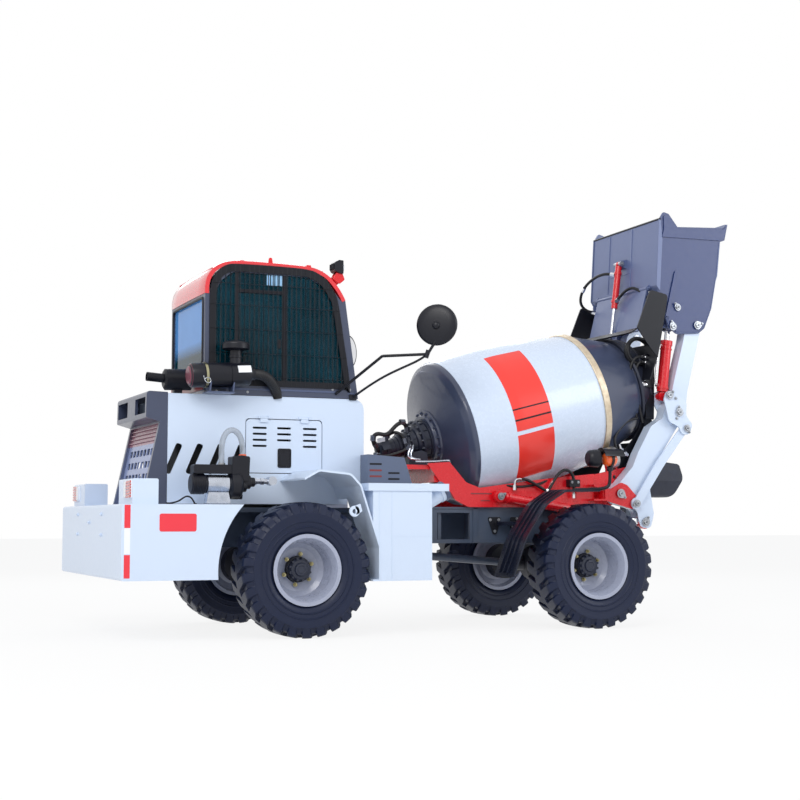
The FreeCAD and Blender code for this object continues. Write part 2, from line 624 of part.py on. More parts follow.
# support rollers: axles between two cheeks that stand square to the drum's axis
roller_across = (ring_r + roller_r + 0.3) * math.sin(math.radians(roller_turn))
roller_down = (ring_r + roller_r + 0.3) * math.cos(math.radians(roller_turn))
ring_middle = (ring_s0 + ring_s1) / 2


def to_drum(shape):
    shape.rotate(V(0, 0, 0), V(0, 1, 0), -drum_tilt)
    shape.translate(V(drum_x, 0, drum_z))
    return shape


def roller_rod(side, reach, r):
    return to_drum(rod((ring_middle - reach, side * roller_across, -roller_down),
                       (ring_middle + reach, side * roller_across, -roller_down), r))


for name, side in (("roller_near", -1), ("roller_door", 1)):
    keep(name, minus(roller_rod(side, roller_w / 2, roller_r), roller_rod(side, 60, 20 + run)))
    for step in (-52, 40):
        cheek = plate_x([(inner_lug_in, -665), (inner_lug_in, -520, 30), (400, -466, 30),
                         (462, -466, 30), (478, -540, 30), (inner_lug_out + 2, -610),
                         (inner_lug_out, -665)], ring_middle + step, ring_middle + step + 12)
        cheek = cheek if side > 0 else mirrored(cheek)
        cradle = joined(cradle, to_drum(cheek))
    cradle = joined(cradle, roller_rod(side, 52, 20))
keep("cradle", cradle)

gearbox = joined(rod(on_drum(head_s - 113), on_drum(head_s - 300), 175),
                 rod(on_drum(head_s - 300), on_drum(head_s - 420), 110),
                 rod(on_drum(head_s - 420), on_drum(head_s - 620), 85),
                 minus(box(-60, 120, -190, 190, 1275, 1400),
                       rod(on_drum(head_s - 112), on_drum(head_s + 300), 800)))
keep("drum_drive", gearbox)


# ---------------------------------------------------------------- drum
def drum_turned(points):
    return turned(points, at=(drum_x, 0, drum_z), lean=drum_tilt)


def shell_profile(wall):
    return [(-470, 600 - wall), (-300, 622 - wall, 900), (-60, 636 - wall, 1500),
            (200, 629 - wall, 1500), (ring_s0, band_r - wall)]


keep("drum_shell", drum_turned(shell_profile(0) + shell_profile(drum_wall)[::-1]))
head_out = [(-470, 600), (-504, 593, 30), (-540, 540, 60), (-590, 330, 60), (-612, 244),
            (-612, 0)]
head_in = [(-596, 0), (-582, 320, 60), (-530, 535, 50), (-498, 580, 25), (-470, 592)]
cone = [(ring_s1, band_r - drum_wall), (ring_s1, band_r), (mouth_s, mouth_r),
        (mouth_s, mouth_r - drum_wall)]
keep("drum_ends", drum_turned(head_out + head_in), drum_turned(cone))
keep("drum_band", drum_turned([(ring_s0, band_r - drum_wall), (ring_s0, ring_r, 6),
                               (ring_s1, ring_r, 6), (ring_s1, band_r - drum_wall)]))

# ---------------------------------------------------------------- arms and their linkage
arm_plate = plate_y([(1645, 1118, 60), (1700, 1151), (1827, 1285), (1878, 1400), (2010, 1625),
                     (2130, 1700, 60), (2152, 1795, 60), (2205, 1850, 60), (2246, 2017),
                     (2345, 2360), (2372, 2500, 40), (2428, 2572, 50), (2540, 2575, 58), (2507, 2420),
                     (2380, 1943, 150), (2345, 1720, 80), (2250, 1599), (2035, 1290, 300),
                     (1990, 1096, 80), (2026, 893, 60), (1992, 772, 45), (1893, 782, 45),
                     (1862, 925, 60), (1800, 945), (1662, 978, 60), (1606, 1040, 50)],
                    -arm_out, -arm_in)
foot_slot = plate_y([(1400, 600), (1400, 955), (1780, 960), (1935, 958), (1990, 905),
                     (2001, 850), (2001, 600)], -lift_y - 21, -lift_y + 21)
arm_plate = minus(arm_plate, pin_y(arm_pivot, pin_r + run, -arm_out - 5, -arm_in + 5),
                  pin_y(bucket_pin, 30 + run, -arm_out - 5, -arm_in + 5),
                  pin_y(crank_pivot, pin_r + run, -arm_out - 5, -arm_in + 5), foot_slot)
arm_plate = joined(arm_plate, pin_y(lift_eye, pin_r, -arm_out - 9, -arm_out))
tube = pipe((arm_pivot[0], -arm_in - 5, arm_pivot[1]), (arm_pivot[0], arm_in + 5, arm_pivot[1]),
            55, 34)
keep("loading_arms", joined(arm_plate, mirrored(arm_plate), tube))

crank = plate_y([(2104, 1850, 40), (2132, 1925, 40), (2216, 1915, 40), (2328, 1835, 50),
                 (2322, 1720, 60), (2384, 1642, 45), (2348, 1556, 45), (2278, 1562, 45),
                 (2245, 1625, 60), (2150, 1665, 60)], -crank_out, -crank_in)
inner_crank = plate_y([(2112, 1830, 40), (2112, 1930, 45), (2210, 1925, 45), (2320, 1800, 50),
                       (2310, 1690, 50), (2200, 1680, 60)], -inner_lug_out, -inner_lug_in - 6)
crank = minus(joined(crank, inner_crank,
                     pin_y(crank_pivot, pin_r, -crank_out - 8, -inner_lug_in - 6),
                     pin_y(crank_pivot, 32, -crank_in, -lug_in),
                     pin_y(crank_low, pin_r, -crank_out - 8, -crank_out)),
              pin_y(crank_top, pin_r + run, -700, -300))
keep("bell_cranks", both(crank))

link_bar = joined(pin_y(link_foot, 48, -link_out, -link_in),
                  pin_y(crank_low, 42, -link_out, -link_in),
                  plate_y([(1812, 1004), (2048, 1345, 300), (2296, 1640), (2352, 1600),
                           (2110, 1300, 300), (1868, 960)], -link_out, -link_in))
link_bar = minus(link_bar, pin_y(link_foot, pin_r + run, -600, -500))
keep("level_links", both(link_bar))


def cylinder_unit(base, eye, y, barrel_len, inside, closing, r, rod_r, width, eye_r, pin):
    """A hydraulic cylinder between two eyes.  The rod's eye is a plain disc between the
    plates that carry it, because the linkage is opened there; inside is the rod's length
    in the barrel as drawn, and closing is how much further it can go in."""
    w = width / 2
    length = math.hypot(eye[0] - base[0], eye[1] - base[1])
    at = lambda reach: (toward(base, eye, reach)[0], y, toward(base, eye, reach)[1])
    neck = minus(rod(at(length - eye_r * 1.9), at(length - eye_r + 8), rod_r),
                 box(-4000, 4000, y + w, y + 200, 0, 4000), box(-4000, 4000, y - 200, y - w, 0, 4000))
    barrel = joined(rod(at(eye_r - 2), at(barrel_len), r), pin_y(base, eye_r, y - w, y + w))
    barrel = minus(barrel, pin_y(base, pin + run, y - r - 5, y + r + 5),
                   rod(at(barrel_len - inside - closing - 8), at(barrel_len + 5), rod_r + run))
    ram = joined(rod(at(barrel_len - inside), at(length - eye_r * 1.9), rod_r), neck,
                 pin_y(eye, eye_r, y - w, y + w))
    return barrel, ram


barrel, ram = cylinder_unit(lift_base, lift_eye, -lift_y, 720, 60, 500, 40, 25, 32, 46, pin_r)
keep("lift_barrels", both(barrel))
keep("lift_rods", both(ram))
barrel, ram = cylinder_unit(crank_top, tilt_eye, -tilt_y, 470, 290, 10, 46, 22, 40, 40, pin_r)
tilt_pin = pin_y(crank_top, pin_r, -crank_out - 8, -inner_lug_in)
keep("tilt_barrels", both(joined(barrel, tilt_pin, pin_y(crank_top, 30, -tilt_y - 20, -tilt_y + 20))))
keep("tilt_rods", both(ram))

# ---------------------------------------------------------------- bucket and gate
end_plate = plate_y([(2112, 3393), (2150, 3453, 20), (2205, 3440, 20), (2292, 3334),
                     (2750, 3362), (2808, 3397), (2773, 3254), (2720, 3235), (2682, 2942),
                     (2624, 2651), (2548, 2475, 40), (2486, 2428, 40), (2263, 2413, 40),
                     (2184, 2473, 30), (2090, 2760), (2129, 3214)],
                    -end_plate_out, -end_plate_in)
rim_band = plate_y([(2131, 3236), (2150, 3300), (2150, 3430, 20), (2200, 3418, 20), (2284, 3318), (2752, 3346),
                    (2788, 3372), (2768, 3270), (2720, 3247)], -end_plate_out - 9, -end_plate_out)
press = plate_y([(2152, 2560), (2250, 2940), (2264, 2958, 6), (2276, 2934), (2180, 2555)],
                -end_plate_out - 12, -end_plate_out)
skirt = plate_y([(2190, 2640), (2180, 2500, 30), (2268, 2428, 40), (2482, 2442, 40), (2540, 2490, 40),
                 (2590, 2606)], -end_plate_out - 4, -end_plate_out)
end_plate = joined(end_plate, rim_band, press, skirt)
end_plate = minus(end_plate, pin_y(bucket_pin, 30 + run, -600, -400))
eye_lug = plate_y([(2195, 2650), (2185, 2440, 40), (2262, 2440, 40), (2290, 2590)], -436, -420)
scoop = plate_y([(2112, 3385), (2076, 2820), (2200, 2640), (2300, 2585, 60), (2560, 2585, 60),
                 (2700, 2942), (2735, 3235), (2808, 3397), (2790, 3397), (2722, 3237),
                 (2688, 2944), (2552, 2597, 50), (2304, 2597, 50), (2210, 2650),
                 (2089, 2822), (2125, 3385)], -end_plate_in, end_plate_in)
scoop = minus(scoop, plate_y([(2050, 2790), (2170, 2620), (2230, 2665), (2120, 2830)],
                             -gate_half + 20, gate_half - 20))
gate_ears = plate_y([(2100, 3120), (2020, 3100, 18), (2020, 3062, 18), (2095, 3040)], -43, -31)
bucket = joined(end_plate, mirrored(end_plate), scoop, eye_lug, mirrored(eye_lug),
                gate_ears, mirrored(gate_ears), pin_y(gate_top_eye, gate_pin_r, -43, 43))
for side in (-1, 1):
    bucket = joined(bucket,
                    pin_y(tilt_eye, pin_r, *sorted((side * 420, side * 440))),
                    pin_y(spare_pin, 34, *sorted((side * end_plate_in, side * (end_plate_out + 10)))),
                    pin_y(tilt_eye, pin_r, *sorted((side * 490, side * (end_plate_out + 10)))))
bucket = minus(bucket, pin_y(gate_hinge, 16, -gate_half, gate_half))
hinge_bar = pin_y(gate_hinge, 8, -gate_half - 40, gate_half + 40)
hinge_ears = plate_y([(2095, 2850), (2058, 2830, 10), (2058, 2796, 10), (2100, 2790)],
                     gate_half + 6, gate_half + 18)
bucket = joined(bucket, hinge_ears, mirrored(hinge_ears), hinge_bar)
keep("bucket", bucket)
keep("bucket_pins", both(pin_y(bucket_pin, 30, -end_plate_out - 14, -arm_in + 6)))

gate = joined(plate_y([(2060, 2800), (1965, 2440), (1975, 2436), (2072, 2797)],
                      -gate_half, gate_half),
              pin_y(gate_hinge, 15, -gate_half, gate_half))
gate_lug = plate_y([(1996, 2520), (1934, 2446, 16), (1938, 2413, 16), (1968, 2413, 10),
                    (1978, 2450)], -32, -20)
gate = joined(minus(gate, box(1940, 2000, -24, 24, 2400, 2468)), gate_lug, mirrored(gate_lug))
gate = minus(gate, pin_y(gate_hinge, 8 + run, -gate_half - 50, gate_half + 50))
keep("gate", gate)
barrel, ram = cylinder_unit(gate_top_eye, gate_low_eye, 0, 400, 60, 160, 28, 14, 34, 22, gate_pin_r)
keep("gate_barrel", barrel)
keep("gate_rod", ram)

# ---------------------------------------------------------------- hoppers and chute
cheek = plate_y([(1985, 2770, 30), (2160, 2735, 30), (2100, 2440), (2050, 2200),
                 (1960, 2300), (1850, 2445, 20)], -575, -565)
post = plate_y([(1780, 1160), (1880, 1170), (2095, 1450, 60), (2098, 2240), (2030, 2240),
                (2030, 1500, 60), (1800, 1260)], -inner_lug_in, -inner_lug_in + 20)
funnel = minus(plate_y([(1985, 1455), (2190, 1520), (2165, 1345), (2045, 1345)], -365, 365),
               plate_y([(1993, 1470), (2182, 1530), (2157, 1330), (2053, 1330)], -357, 357))
hoppers = joined(
    cheek, mirrored(cheek),
    plate_y([(1790, 2400), (1850, 2440), (1860, 2432), (1800, 2390)], -565, 565),
    plate_y([(1985, 2010), (1975, 2013), (2040, 2200), (2075, 2330), (2086, 2327),
             (2051, 2197)], -565, 565),
    post, mirrored(post), funnel)
keep("hoppers", hoppers)

chute_y = 165.0
trough = plate_x([(-chute_y, 1180), (-chute_y, 1345), (-chute_y + 10, 1345),
                  (-chute_y + 10, 1185), (-80, 1050, 60), (80, 1050, 60),
                  (chute_y - 10, 1185), (chute_y - 10, 1345), (chute_y, 1345),
                  (chute_y, 1180), (90, 1040, 60), (-90, 1040, 60)], 1975, 2640)
trough = trough.common(plate_y([(1975, 1330), (2150, 1330), (2360, 1345), (2520, 1328, 40),
                                (2560, 1212, 90), (2500, 1040, 90), (1975, 1030)], -200, 200))
keep("chute", joined(trough, rod((2090, 0, 1025), (2090, 0, 1048), 60)))

# ---------------------------------------------------------------- front mudguards and lamps
mud = plate_y([(440, 412), (452, 412), (560, 700, 400), (740, 960, 200), (905, 1060, 80),
               (1210, 1064), (1210, 1074), (895, 1070, 90), (730, 968, 200), (550, 706, 400)],
              -1015, -695)
mud_rib = plate_y([(448, 440), (560, 700, 400), (740, 960, 200), (905, 1068, 80), (1190, 1072), (1190, 1084),
                   (893, 1079, 92), (720, 974, 200), (541, 710, 400), (432, 440)], -7, 7)
for y in (-785, -855, -925):
    strip = mud_rib.copy()
    strip.translate(V(0, y, 0))
    mud = mud.fuse(strip)
bracket = minus(box(610, 770, -700, -400, 800, 830), mud)
bracket = minus(bracket, plate_y([(440, 400), (452, 412), (560, 700, 400), (740, 960, 200),
                                  (905, 1060, 80), (1400, 1060), (1400, 400)], -1015, -694))
keep("front_mudguards", both(joined(mud, bracket)))
lamp = joined(turned([(0, 0), (0, 46), (14, 56), (50, 58), (50, 66), (72, 66), (72, 58), (108, 56), (122, 46),
                      (122, 0)], at=(1339, -850, 1324)),
              rod((1400, -850, 1270), (1340, -850, 1100), 12),
              rod((1340, -850, 1100), (1130, -760, 1082), 12))
keep("turn_lamps", both(minus(lamp, mud)))

# ---------------------------------------------------------------- writing
os.makedirs("parts", exist_ok=True)
for name, shape in parts.items():
    shape.exportStep("parts/" + name + ".step")
print(len(parts), "nodes")
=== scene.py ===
import math
import bpy
import bmesh
import numpy as np
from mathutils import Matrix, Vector


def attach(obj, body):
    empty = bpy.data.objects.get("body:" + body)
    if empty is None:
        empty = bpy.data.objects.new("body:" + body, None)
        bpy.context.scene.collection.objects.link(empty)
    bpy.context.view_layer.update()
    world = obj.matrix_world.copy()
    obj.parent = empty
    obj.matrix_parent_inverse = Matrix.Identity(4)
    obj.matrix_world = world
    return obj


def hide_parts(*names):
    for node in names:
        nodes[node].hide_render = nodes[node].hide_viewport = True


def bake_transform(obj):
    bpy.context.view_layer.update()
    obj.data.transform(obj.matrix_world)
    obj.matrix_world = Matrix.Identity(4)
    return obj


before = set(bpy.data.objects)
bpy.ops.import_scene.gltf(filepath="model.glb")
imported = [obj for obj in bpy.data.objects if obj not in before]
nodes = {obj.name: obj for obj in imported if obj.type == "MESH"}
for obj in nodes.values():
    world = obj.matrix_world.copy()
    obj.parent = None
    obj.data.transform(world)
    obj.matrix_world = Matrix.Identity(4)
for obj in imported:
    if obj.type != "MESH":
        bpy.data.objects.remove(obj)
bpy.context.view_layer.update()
print("frame loaded:", len(nodes), "solids")

# camera and room; a lamp is (name, place, aim, size, watts, tint)
cameraValues = {"place": (-4.855, -10.848, 0.834), "looks": (0.3945, 0.9151, 0.0829), "lens": 65.5,
                "sensor": 36, "farEnd": 200}
roomValues = {"skyTint": (0.93, 0.96, 1.0, 1), "skyLevel": 0.66, "floorTone": 0.9, "floorReach": 60,
              "glow": 0.86,
              "lamps": (("keyLamp", (-6.5, -8.5, 8.5), (0, 0, 1.0), (7, 5), 640, (1.0, 0.985, 0.96)),
                        ("fillLamp", (8.0, -7.0, 5.0), (0.5, 0, 1.2), (5, 4), 250, (0.93, 0.96, 1.0)),
                        ("backLamp", (2.0, 9.0, 7.0), (0, 0, 1.2), (7, 4), 250, (0.95, 0.97, 1.0)))}

scene = bpy.context.scene
scene.view_settings.view_transform = "Standard"


def addObject(name, data, place=(0, 0, 0), looks=None):
    # an object in the scene, turned so that its -Z looks along a direction
    obj = bpy.data.objects.new(name, data)
    obj.location = place
    if looks is not None:
        obj.rotation_euler = Vector(looks).to_track_quat("-Z", "Y").to_euler()
    scene.collection.objects.link(obj)
    return obj


def makeCamera(v):
    data = bpy.data.cameras.new("camera")
    data.lens = v["lens"]
    data.sensor_width = v["sensor"]
    data.clip_end = v["farEnd"]
    scene.camera = addObject("camera", data, v["place"], v["looks"])


def areaLamp(name, place, aim, size, watts, tint):
    data = bpy.data.lights.new(name, "AREA")
    data.shape = "RECTANGLE"
    data.size, data.size_y = size
    data.energy = watts
    data.color = tint
    addObject(name, data, place, Vector(aim) - Vector(place))


def feed(tree, value, socket):
    # a link if the value is a node's socket, else a plain value
    if isinstance(value, bpy.types.NodeSocket):
        tree.links.new(value, socket)
    else:
        socket.default_value = value


def node(tree, kind, **values):
    # a shader node; each value goes to the input of that name, or else to the node's own setting
    made = tree.nodes.new("ShaderNode" + kind)
    for key, value in values.items():
        if key in made.inputs:
            feed(tree, value, made.inputs[key])
        else:
            setattr(made, key, value)
    return made


def maths(tree, operation, *values):
    made = node(tree, "Math", operation=operation)
    for value, socket in zip(values, made.inputs):
        feed(tree, value, socket)
    return made.outputs[0]


def noise(tree, where, **values):
    return node(tree, "TexNoise", Vector=where, **values).outputs["Fac"]


def mixColour(tree, factor, a, b, blend="MIX"):
    made = node(tree, "Mix", data_type="RGBA", blend_type=blend)
    for place, value in ((0, factor), (6, a), (7, b)):
        feed(tree, value, made.inputs[place])
    return made.outputs[2]


def ramp(tree, source, low, high, outLow=0.0, outHigh=1.0, kind="LINEAR"):
    # one range of values carried onto another and held beyond its ends
    made = node(tree, "MapRange", interpolation_type=kind, **{
        "Value": source, "From Min": low, "From Max": high, "To Min": outLow, "To Max": outHigh})
    return made.outputs["Result"]


def plainForCamera(tree, lit, plain, share, end):
    # the plain shader, by a share, for the rays that should meet white: camera, mirror and glass rays
    rays = node(tree, "LightPath").outputs
    seen = maths(tree, "MAXIMUM", rays["Is Camera Ray"], rays["Is Glossy Ray"])
    seen = maths(tree, "MAXIMUM", seen, rays["Is Transmission Ray"])
    mix = node(tree, "MixShader")
    feed(tree, maths(tree, "MULTIPLY", seen, share), mix.inputs[0])
    feed(tree, lit.outputs[0], mix.inputs[1])
    feed(tree, plain.outputs[0], mix.inputs[2])
    feed(tree, mix.outputs[0], end.inputs[0])


def makeRoom(v):
    world = bpy.data.worlds.new("sky")
    scene.world = world
    world.use_nodes = True
    tree = world.node_tree
    tree.nodes.clear()
    soft = node(tree, "Background", Color=v["skyTint"], Strength=v["skyLevel"])
    plain = node(tree, "Background", Color=(1, 1, 1, 1), Strength=1.0)
    plainForCamera(tree, soft, plain, 1.0, node(tree, "OutputWorld"))

    mesh = bpy.data.meshes.new("floor")
    reach = v["floorReach"]
    corners = [(-reach, -reach, 0), (reach, -reach, 0), (reach, reach, 0), (-reach, reach, 0)]
    mesh.from_pydata(corners, [], [(0, 1, 2, 3)])
    floor = addObject("floor", mesh)
    mat = bpy.data.materials.new("paleFloor")
    mat.use_nodes = True
    tree = mat.node_tree
    tree.nodes.clear()
    lit = node(tree, "BsdfDiffuse", Color=(v["floorTone"],) * 3 + (1,))
    glow = node(tree, "Emission", Strength=1.0)
    plainForCamera(tree, lit, glow, v["glow"], node(tree, "OutputMaterial"))
    mesh.materials.append(mat)
    for row in v["lamps"]:
        areaLamp(*row)


makeCamera(cameraValues)
makeRoom(roomValues)
print("camera, lamps and floor ready")


# shader groups that the finishes share; the dark and pale colours here are linear values
def newGroup(name, inputs):
    # a group with these inputs; its outputs are a colour, a roughness and a normal
    group = bpy.data.node_groups.new(name, "ShaderNodeTree")
    for label, value in inputs.items():
        kind = "NodeSocketFloat" if isinstance(value, float) else "NodeSocketColor"
        group.interface.new_socket(label, in_out="INPUT", socket_type=kind).default_value = value
    for label, kind in (("Colour", "Color"), ("Roughness", "Float"), ("Normal", "Vector")):
        group.interface.new_socket(label, in_out="OUTPUT", socket_type="NodeSocket" + kind)
    where = node(group, "TexCoord").outputs["Object"]
    return group, group.nodes.new("NodeGroupInput").outputs, where


def endGroup(group, colour, rough, height, strength, distance):
    # the three outputs; the normal comes from a bump of the given height
    bump = node(group, "Bump", Strength=strength, Distance=distance, Height=height).outputs[0]
    ends = group.nodes.new("NodeGroupOutput").inputs
    for label, source in (("Colour", colour), ("Roughness", rough), ("Normal", bump)):
        feed(group, source, ends[label])
    return group


def groupPaint():
    # sprayed paint: slow drift in tone, fine orange peel, and road dust that fades out with height
    g, a, where = newGroup("sprayedPaint", {"Colour": (0.8, 0.8, 0.8, 1), "Drift": 0.06, "Dust": 0.25,
                                            "Dust Height": 0.9, "Gloss": 0.3, "Peel": 0.12})
    shaded, dustColour, dustRough = (0.72, 0.74, 0.8, 1), (0.34, 0.31, 0.28, 1), 0.09
    slow = noise(g, where, Scale=1.7, Detail=4.0, Roughness=0.55)
    fine = noise(g, where, Scale=420.0, Detail=2.0)
    specks = noise(g, where, Scale=26.0, Detail=8.0, Roughness=0.7)
    drift = maths(g, "MULTIPLY", maths(g, "MULTIPLY", slow, a["Drift"]), 2.0)
    toned = mixColour(g, drift, a["Colour"], mixColour(g, 1.0, a["Colour"], shaded, "MULTIPLY"))
    height = node(g, "SeparateXYZ", Vector=where).outputs["Z"]
    low = ramp(g, height, 0.0, a["Dust Height"], 1.0, 0.0, "SMOOTHSTEP")
    patch = ramp(g, specks, 0.42, 0.72)
    dust = maths(g, "MULTIPLY", maths(g, "MULTIPLY", low, patch), a["Dust"])
    rough = maths(g, "ADD", maths(g, "MULTIPLY_ADD", patch, dustRough, a["Gloss"]), dust)
    return endGroup(g, mixColour(g, dust, toned, dustColour), rough, fine, a["Peel"], 0.0006)


def groupGrain():
    # moulded or cast grain: two sizes of noise give tone and bump
    g, a, where = newGroup("mouldedGrain", {"Colour": (0.03, 0.03, 0.03, 1),
                                            "Worn Colour": (0.08, 0.075, 0.07, 1),
                                            "Wear": 0.3, "Scale": 60.0, "Gloss": 0.55, "Relief": 0.25})
    fleckRough = 0.16
    big = noise(g, where, Scale=5.0, Detail=6.0, Roughness=0.65)
    small = noise(g, where, Scale=a["Scale"], Detail=5.0, Roughness=0.6)
    fleck = ramp(g, small, 0.35, 0.7)
    wear = maths(g, "MULTIPLY", maths(g, "MULTIPLY", ramp(g, big, 0.38, 0.7), fleck), a["Wear"])
    rough = maths(g, "MULTIPLY_ADD", fleck, fleckRough, a["Gloss"])
    return endGroup(g, mixColour(g, wear, a["Colour"], a["Worn Colour"]), rough, small, a["Relief"], 0.0012)


def groupMetal():
    # bare metal: stretched noise for drawing or turning marks, plus dull patches
    g, a, where = newGroup("bareMetal", {"Colour": (0.7, 0.7, 0.7, 1), "Dull Colour": (0.4, 0.38, 0.35, 1),
                                         "Dullness": 0.4, "Gloss": 0.25, "Marks": 0.2})
    stretch, dullRough = (14.0, 220.0, 14.0), 0.4
    lines = noise(g, node(g, "Mapping", Vector=where, Scale=stretch).outputs[0], Scale=1.0, Detail=3.0)
    spots = noise(g, where, Scale=18.0, Detail=7.0, Roughness=0.68)
    dull = maths(g, "MULTIPLY", ramp(g, spots, 0.4, 0.68), a["Dullness"])
    rough = maths(g, "MULTIPLY_ADD", dull, dullRough, a["Gloss"])
    return endGroup(g, mixColour(g, dull, a["Colour"], a["Dull Colour"]), rough, lines, a["Marks"], 0.0004)


paintGroup, grainGroup, metalGroup = groupPaint(), groupGrain(), groupMetal()


def tone(red, green, blue):
    # a colour as it looks on a screen, 0 to 255, turned into the renderer's linear values
    c = np.array([red, green, blue]) / 255.0
    c = np.where(c <= 0.04045, c / 12.92, ((c + 0.055) / 1.055) ** 2.4)
    return (float(c[0]), float(c[1]), float(c[2]), 1.0)


def newMaterial(name, values):
    # a material with these shader values, its tree and its shader's inputs
    mat = bpy.data.materials.new(name)
    mat.use_nodes = True
    inputs = mat.node_tree.nodes["Principled BSDF"].inputs
    for label, value in values.items():
        inputs[label].default_value = value
    return mat, mat.node_tree, inputs


def finish(name, group, values, metallic=0.0, coat=0.0, specular=0.5):
    mat, tree, inputs = newMaterial(name, {"Metallic": metallic, "Coat Weight": coat, "Coat Roughness": 0.08,
                                           "Specular IOR Level": specular})
    effect = tree.nodes.new("ShaderNodeGroup")
    effect.node_tree = group
    for label, value in values.items():
        effect.inputs[label].default_value = value
    for source, end in (("Colour", "Base Color"), ("Roughness", "Roughness"), ("Normal", "Normal")):
        tree.links.new(effect.outputs[source], inputs[end])
    return mat


def paint(name, colour, gloss=0.28, dust=0.2, height=0.9, drift=0.05, peel=0.1, coat=0.25):
    return finish(name, paintGroup, {"Colour": tone(*colour), "Gloss": gloss, "Dust": dust,
                                     "Dust Height": height,
                                     "Drift": drift, "Peel": peel}, coat=coat)


def grain(name, colour, worn, wear=0.3, scale=60.0, gloss=0.5, relief=0.25, specular=0.5, coat=0.0):
    return finish(name, grainGroup, {"Colour": tone(*colour), "Worn Colour": tone(*worn), "Wear": wear,
                                     "Scale": scale, "Gloss": gloss, "Relief": relief}, specular=specular,
                  coat=coat)


def metal(name, colour, dull, dullness=0.4, gloss=0.25, marks=0.2):
    return finish(name, metalGroup, {"Colour": tone(*colour), "Dull Colour": tone(*dull),
                                     "Dullness": dullness,
                                     "Gloss": gloss, "Marks": marks}, metallic=1.0)


whitePaint = paint("whitePaint", (212, 226, 246), gloss=0.3, dust=0.1, height=0.7)
drumWhite = paint("drumWhite", (214, 227, 246), gloss=0.24, dust=0.0)
slatePaint = paint("slatePaint", (62, 70, 94), gloss=0.3, dust=0.08)
visorPaint = paint("visorPaint", (74, 86, 118), gloss=0.3, dust=0.08)
bucketPaint = paint("bucketPaint", (98, 112, 154), gloss=0.4, dust=0.0, drift=0.1)
chassisPaint = paint("chassisPaint", (62, 74, 94), gloss=0.36, dust=0.25, height=0.8)
coverPaint = paint("coverPaint", (88, 100, 125), gloss=0.32, dust=0.0)
patchRed = paint("patchRed", (244, 58, 48), gloss=0.3, dust=0.0, drift=0.02)
roofPaint = paint("roofPaint", (226, 24, 40), gloss=0.2, dust=0.0, drift=0.03, peel=0.0, coat=1.0)
redPaint = paint("redPaint", (222, 20, 34), gloss=0.24, dust=0.02, drift=0.06)
coverMaroon = paint("coverMaroon", (120, 52, 72), gloss=0.3, dust=0.0)
deepRed = paint("deepRed", (128, 46, 50), gloss=0.34, dust=0.05)
rimPaint = paint("rimPaint", (164, 170, 190), gloss=0.26, dust=0.15, height=0.6)
tapeWhite = paint("tapeWhite", (244, 246, 250), gloss=0.35, dust=0.02, peel=0.4)
tapeRed = paint("tapeRed", (240, 50, 66), gloss=0.3, dust=0.02, peel=0.4)
plateWhite = paint("plateWhite", (236, 240, 248), gloss=0.3, dust=0.0)
blackPaint = grain("blackPaint", (15, 17, 26), (34, 36, 46), 0.25, scale=120, gloss=0.36, relief=0.08,
                   specular=0.3)
axlePaint = grain("axlePaint", (24, 28, 42), (58, 56, 58), 0.5, scale=45, gloss=0.42, relief=0.4)
castIron = grain("castIron", (34, 40, 58), (74, 78, 92), 0.3, scale=60, gloss=0.38, relief=0.35)
engineCast = grain("engineCast", (70, 72, 76), (110, 104, 96), 0.4, scale=35, gloss=0.5, relief=0.5)
tyreRubber = grain("tyreRubber", (15, 27, 56), (46, 46, 56), 0.3, scale=90, gloss=0.38, relief=0.22,
                   specular=0.35)
hoseRubber = grain("hoseRubber", (13, 14, 21), (34, 35, 42), 0.3, scale=200, gloss=0.42, relief=0.3)
blackPlastic = grain("blackPlastic", (15, 17, 28), (38, 40, 52), 0.2, scale=260, gloss=0.3, relief=0.1,
                     specular=0.35)
mudPlastic = grain("mudPlastic", (16, 22, 40), (56, 62, 80), 0.3, scale=140, gloss=0.24, relief=0.14,
                   specular=0.35)
chuteRubber = grain("chuteRubber", (32, 37, 54), (70, 76, 96), 0.5, scale=16, gloss=0.4, relief=1.0)
seatVinyl = grain("seatVinyl", (40, 42, 50), (64, 64, 70), 0.3, scale=300, gloss=0.55, relief=0.5)
lampOrange = grain("lampOrange", (244, 96, 36), (255, 150, 90), 0.4, scale=120, gloss=0.12, relief=0.3,
                   coat=0.6)
lampRed = grain("lampRed", (196, 20, 24), (235, 70, 60), 0.4, scale=120, gloss=0.12, relief=0.3, coat=0.6)
lampClear = grain("lampClear", (226, 230, 236), (180, 186, 196), 0.6, scale=90, gloss=0.08, relief=0.4,
                  coat=0.6)
ventBlue = grain("ventBlue", (150, 200, 240), (200, 226, 250), 0.4, scale=60, gloss=0.3, relief=0.1)
chromeRod = metal("chromeRod", (225, 226, 230), (170, 170, 172), dullness=0.15, gloss=0.08, marks=0.05)
zincDull = metal("zincDull", (120, 124, 136), (80, 82, 92), dullness=0.5, gloss=0.34)
zincPlate = metal("zincPlate", (172, 176, 182), (96, 98, 104), dullness=0.5, gloss=0.28)
yellowZinc = metal("yellowZinc", (188, 180, 138), (128, 116, 84), dullness=0.5, gloss=0.3)
clampZinc = metal("clampZinc", (176, 172, 140), (120, 114, 88), dullness=0.4, gloss=0.25)
bandSteel = metal("bandSteel", (222, 208, 186), (170, 150, 124), dullness=0.5, gloss=0.36)
rollerSteel = metal("rollerSteel", (190, 190, 192), (120, 112, 104), dullness=0.6, gloss=0.3)
pipeSteel = metal("pipeSteel", (196, 202, 214), (140, 144, 152), dullness=0.4, gloss=0.22)


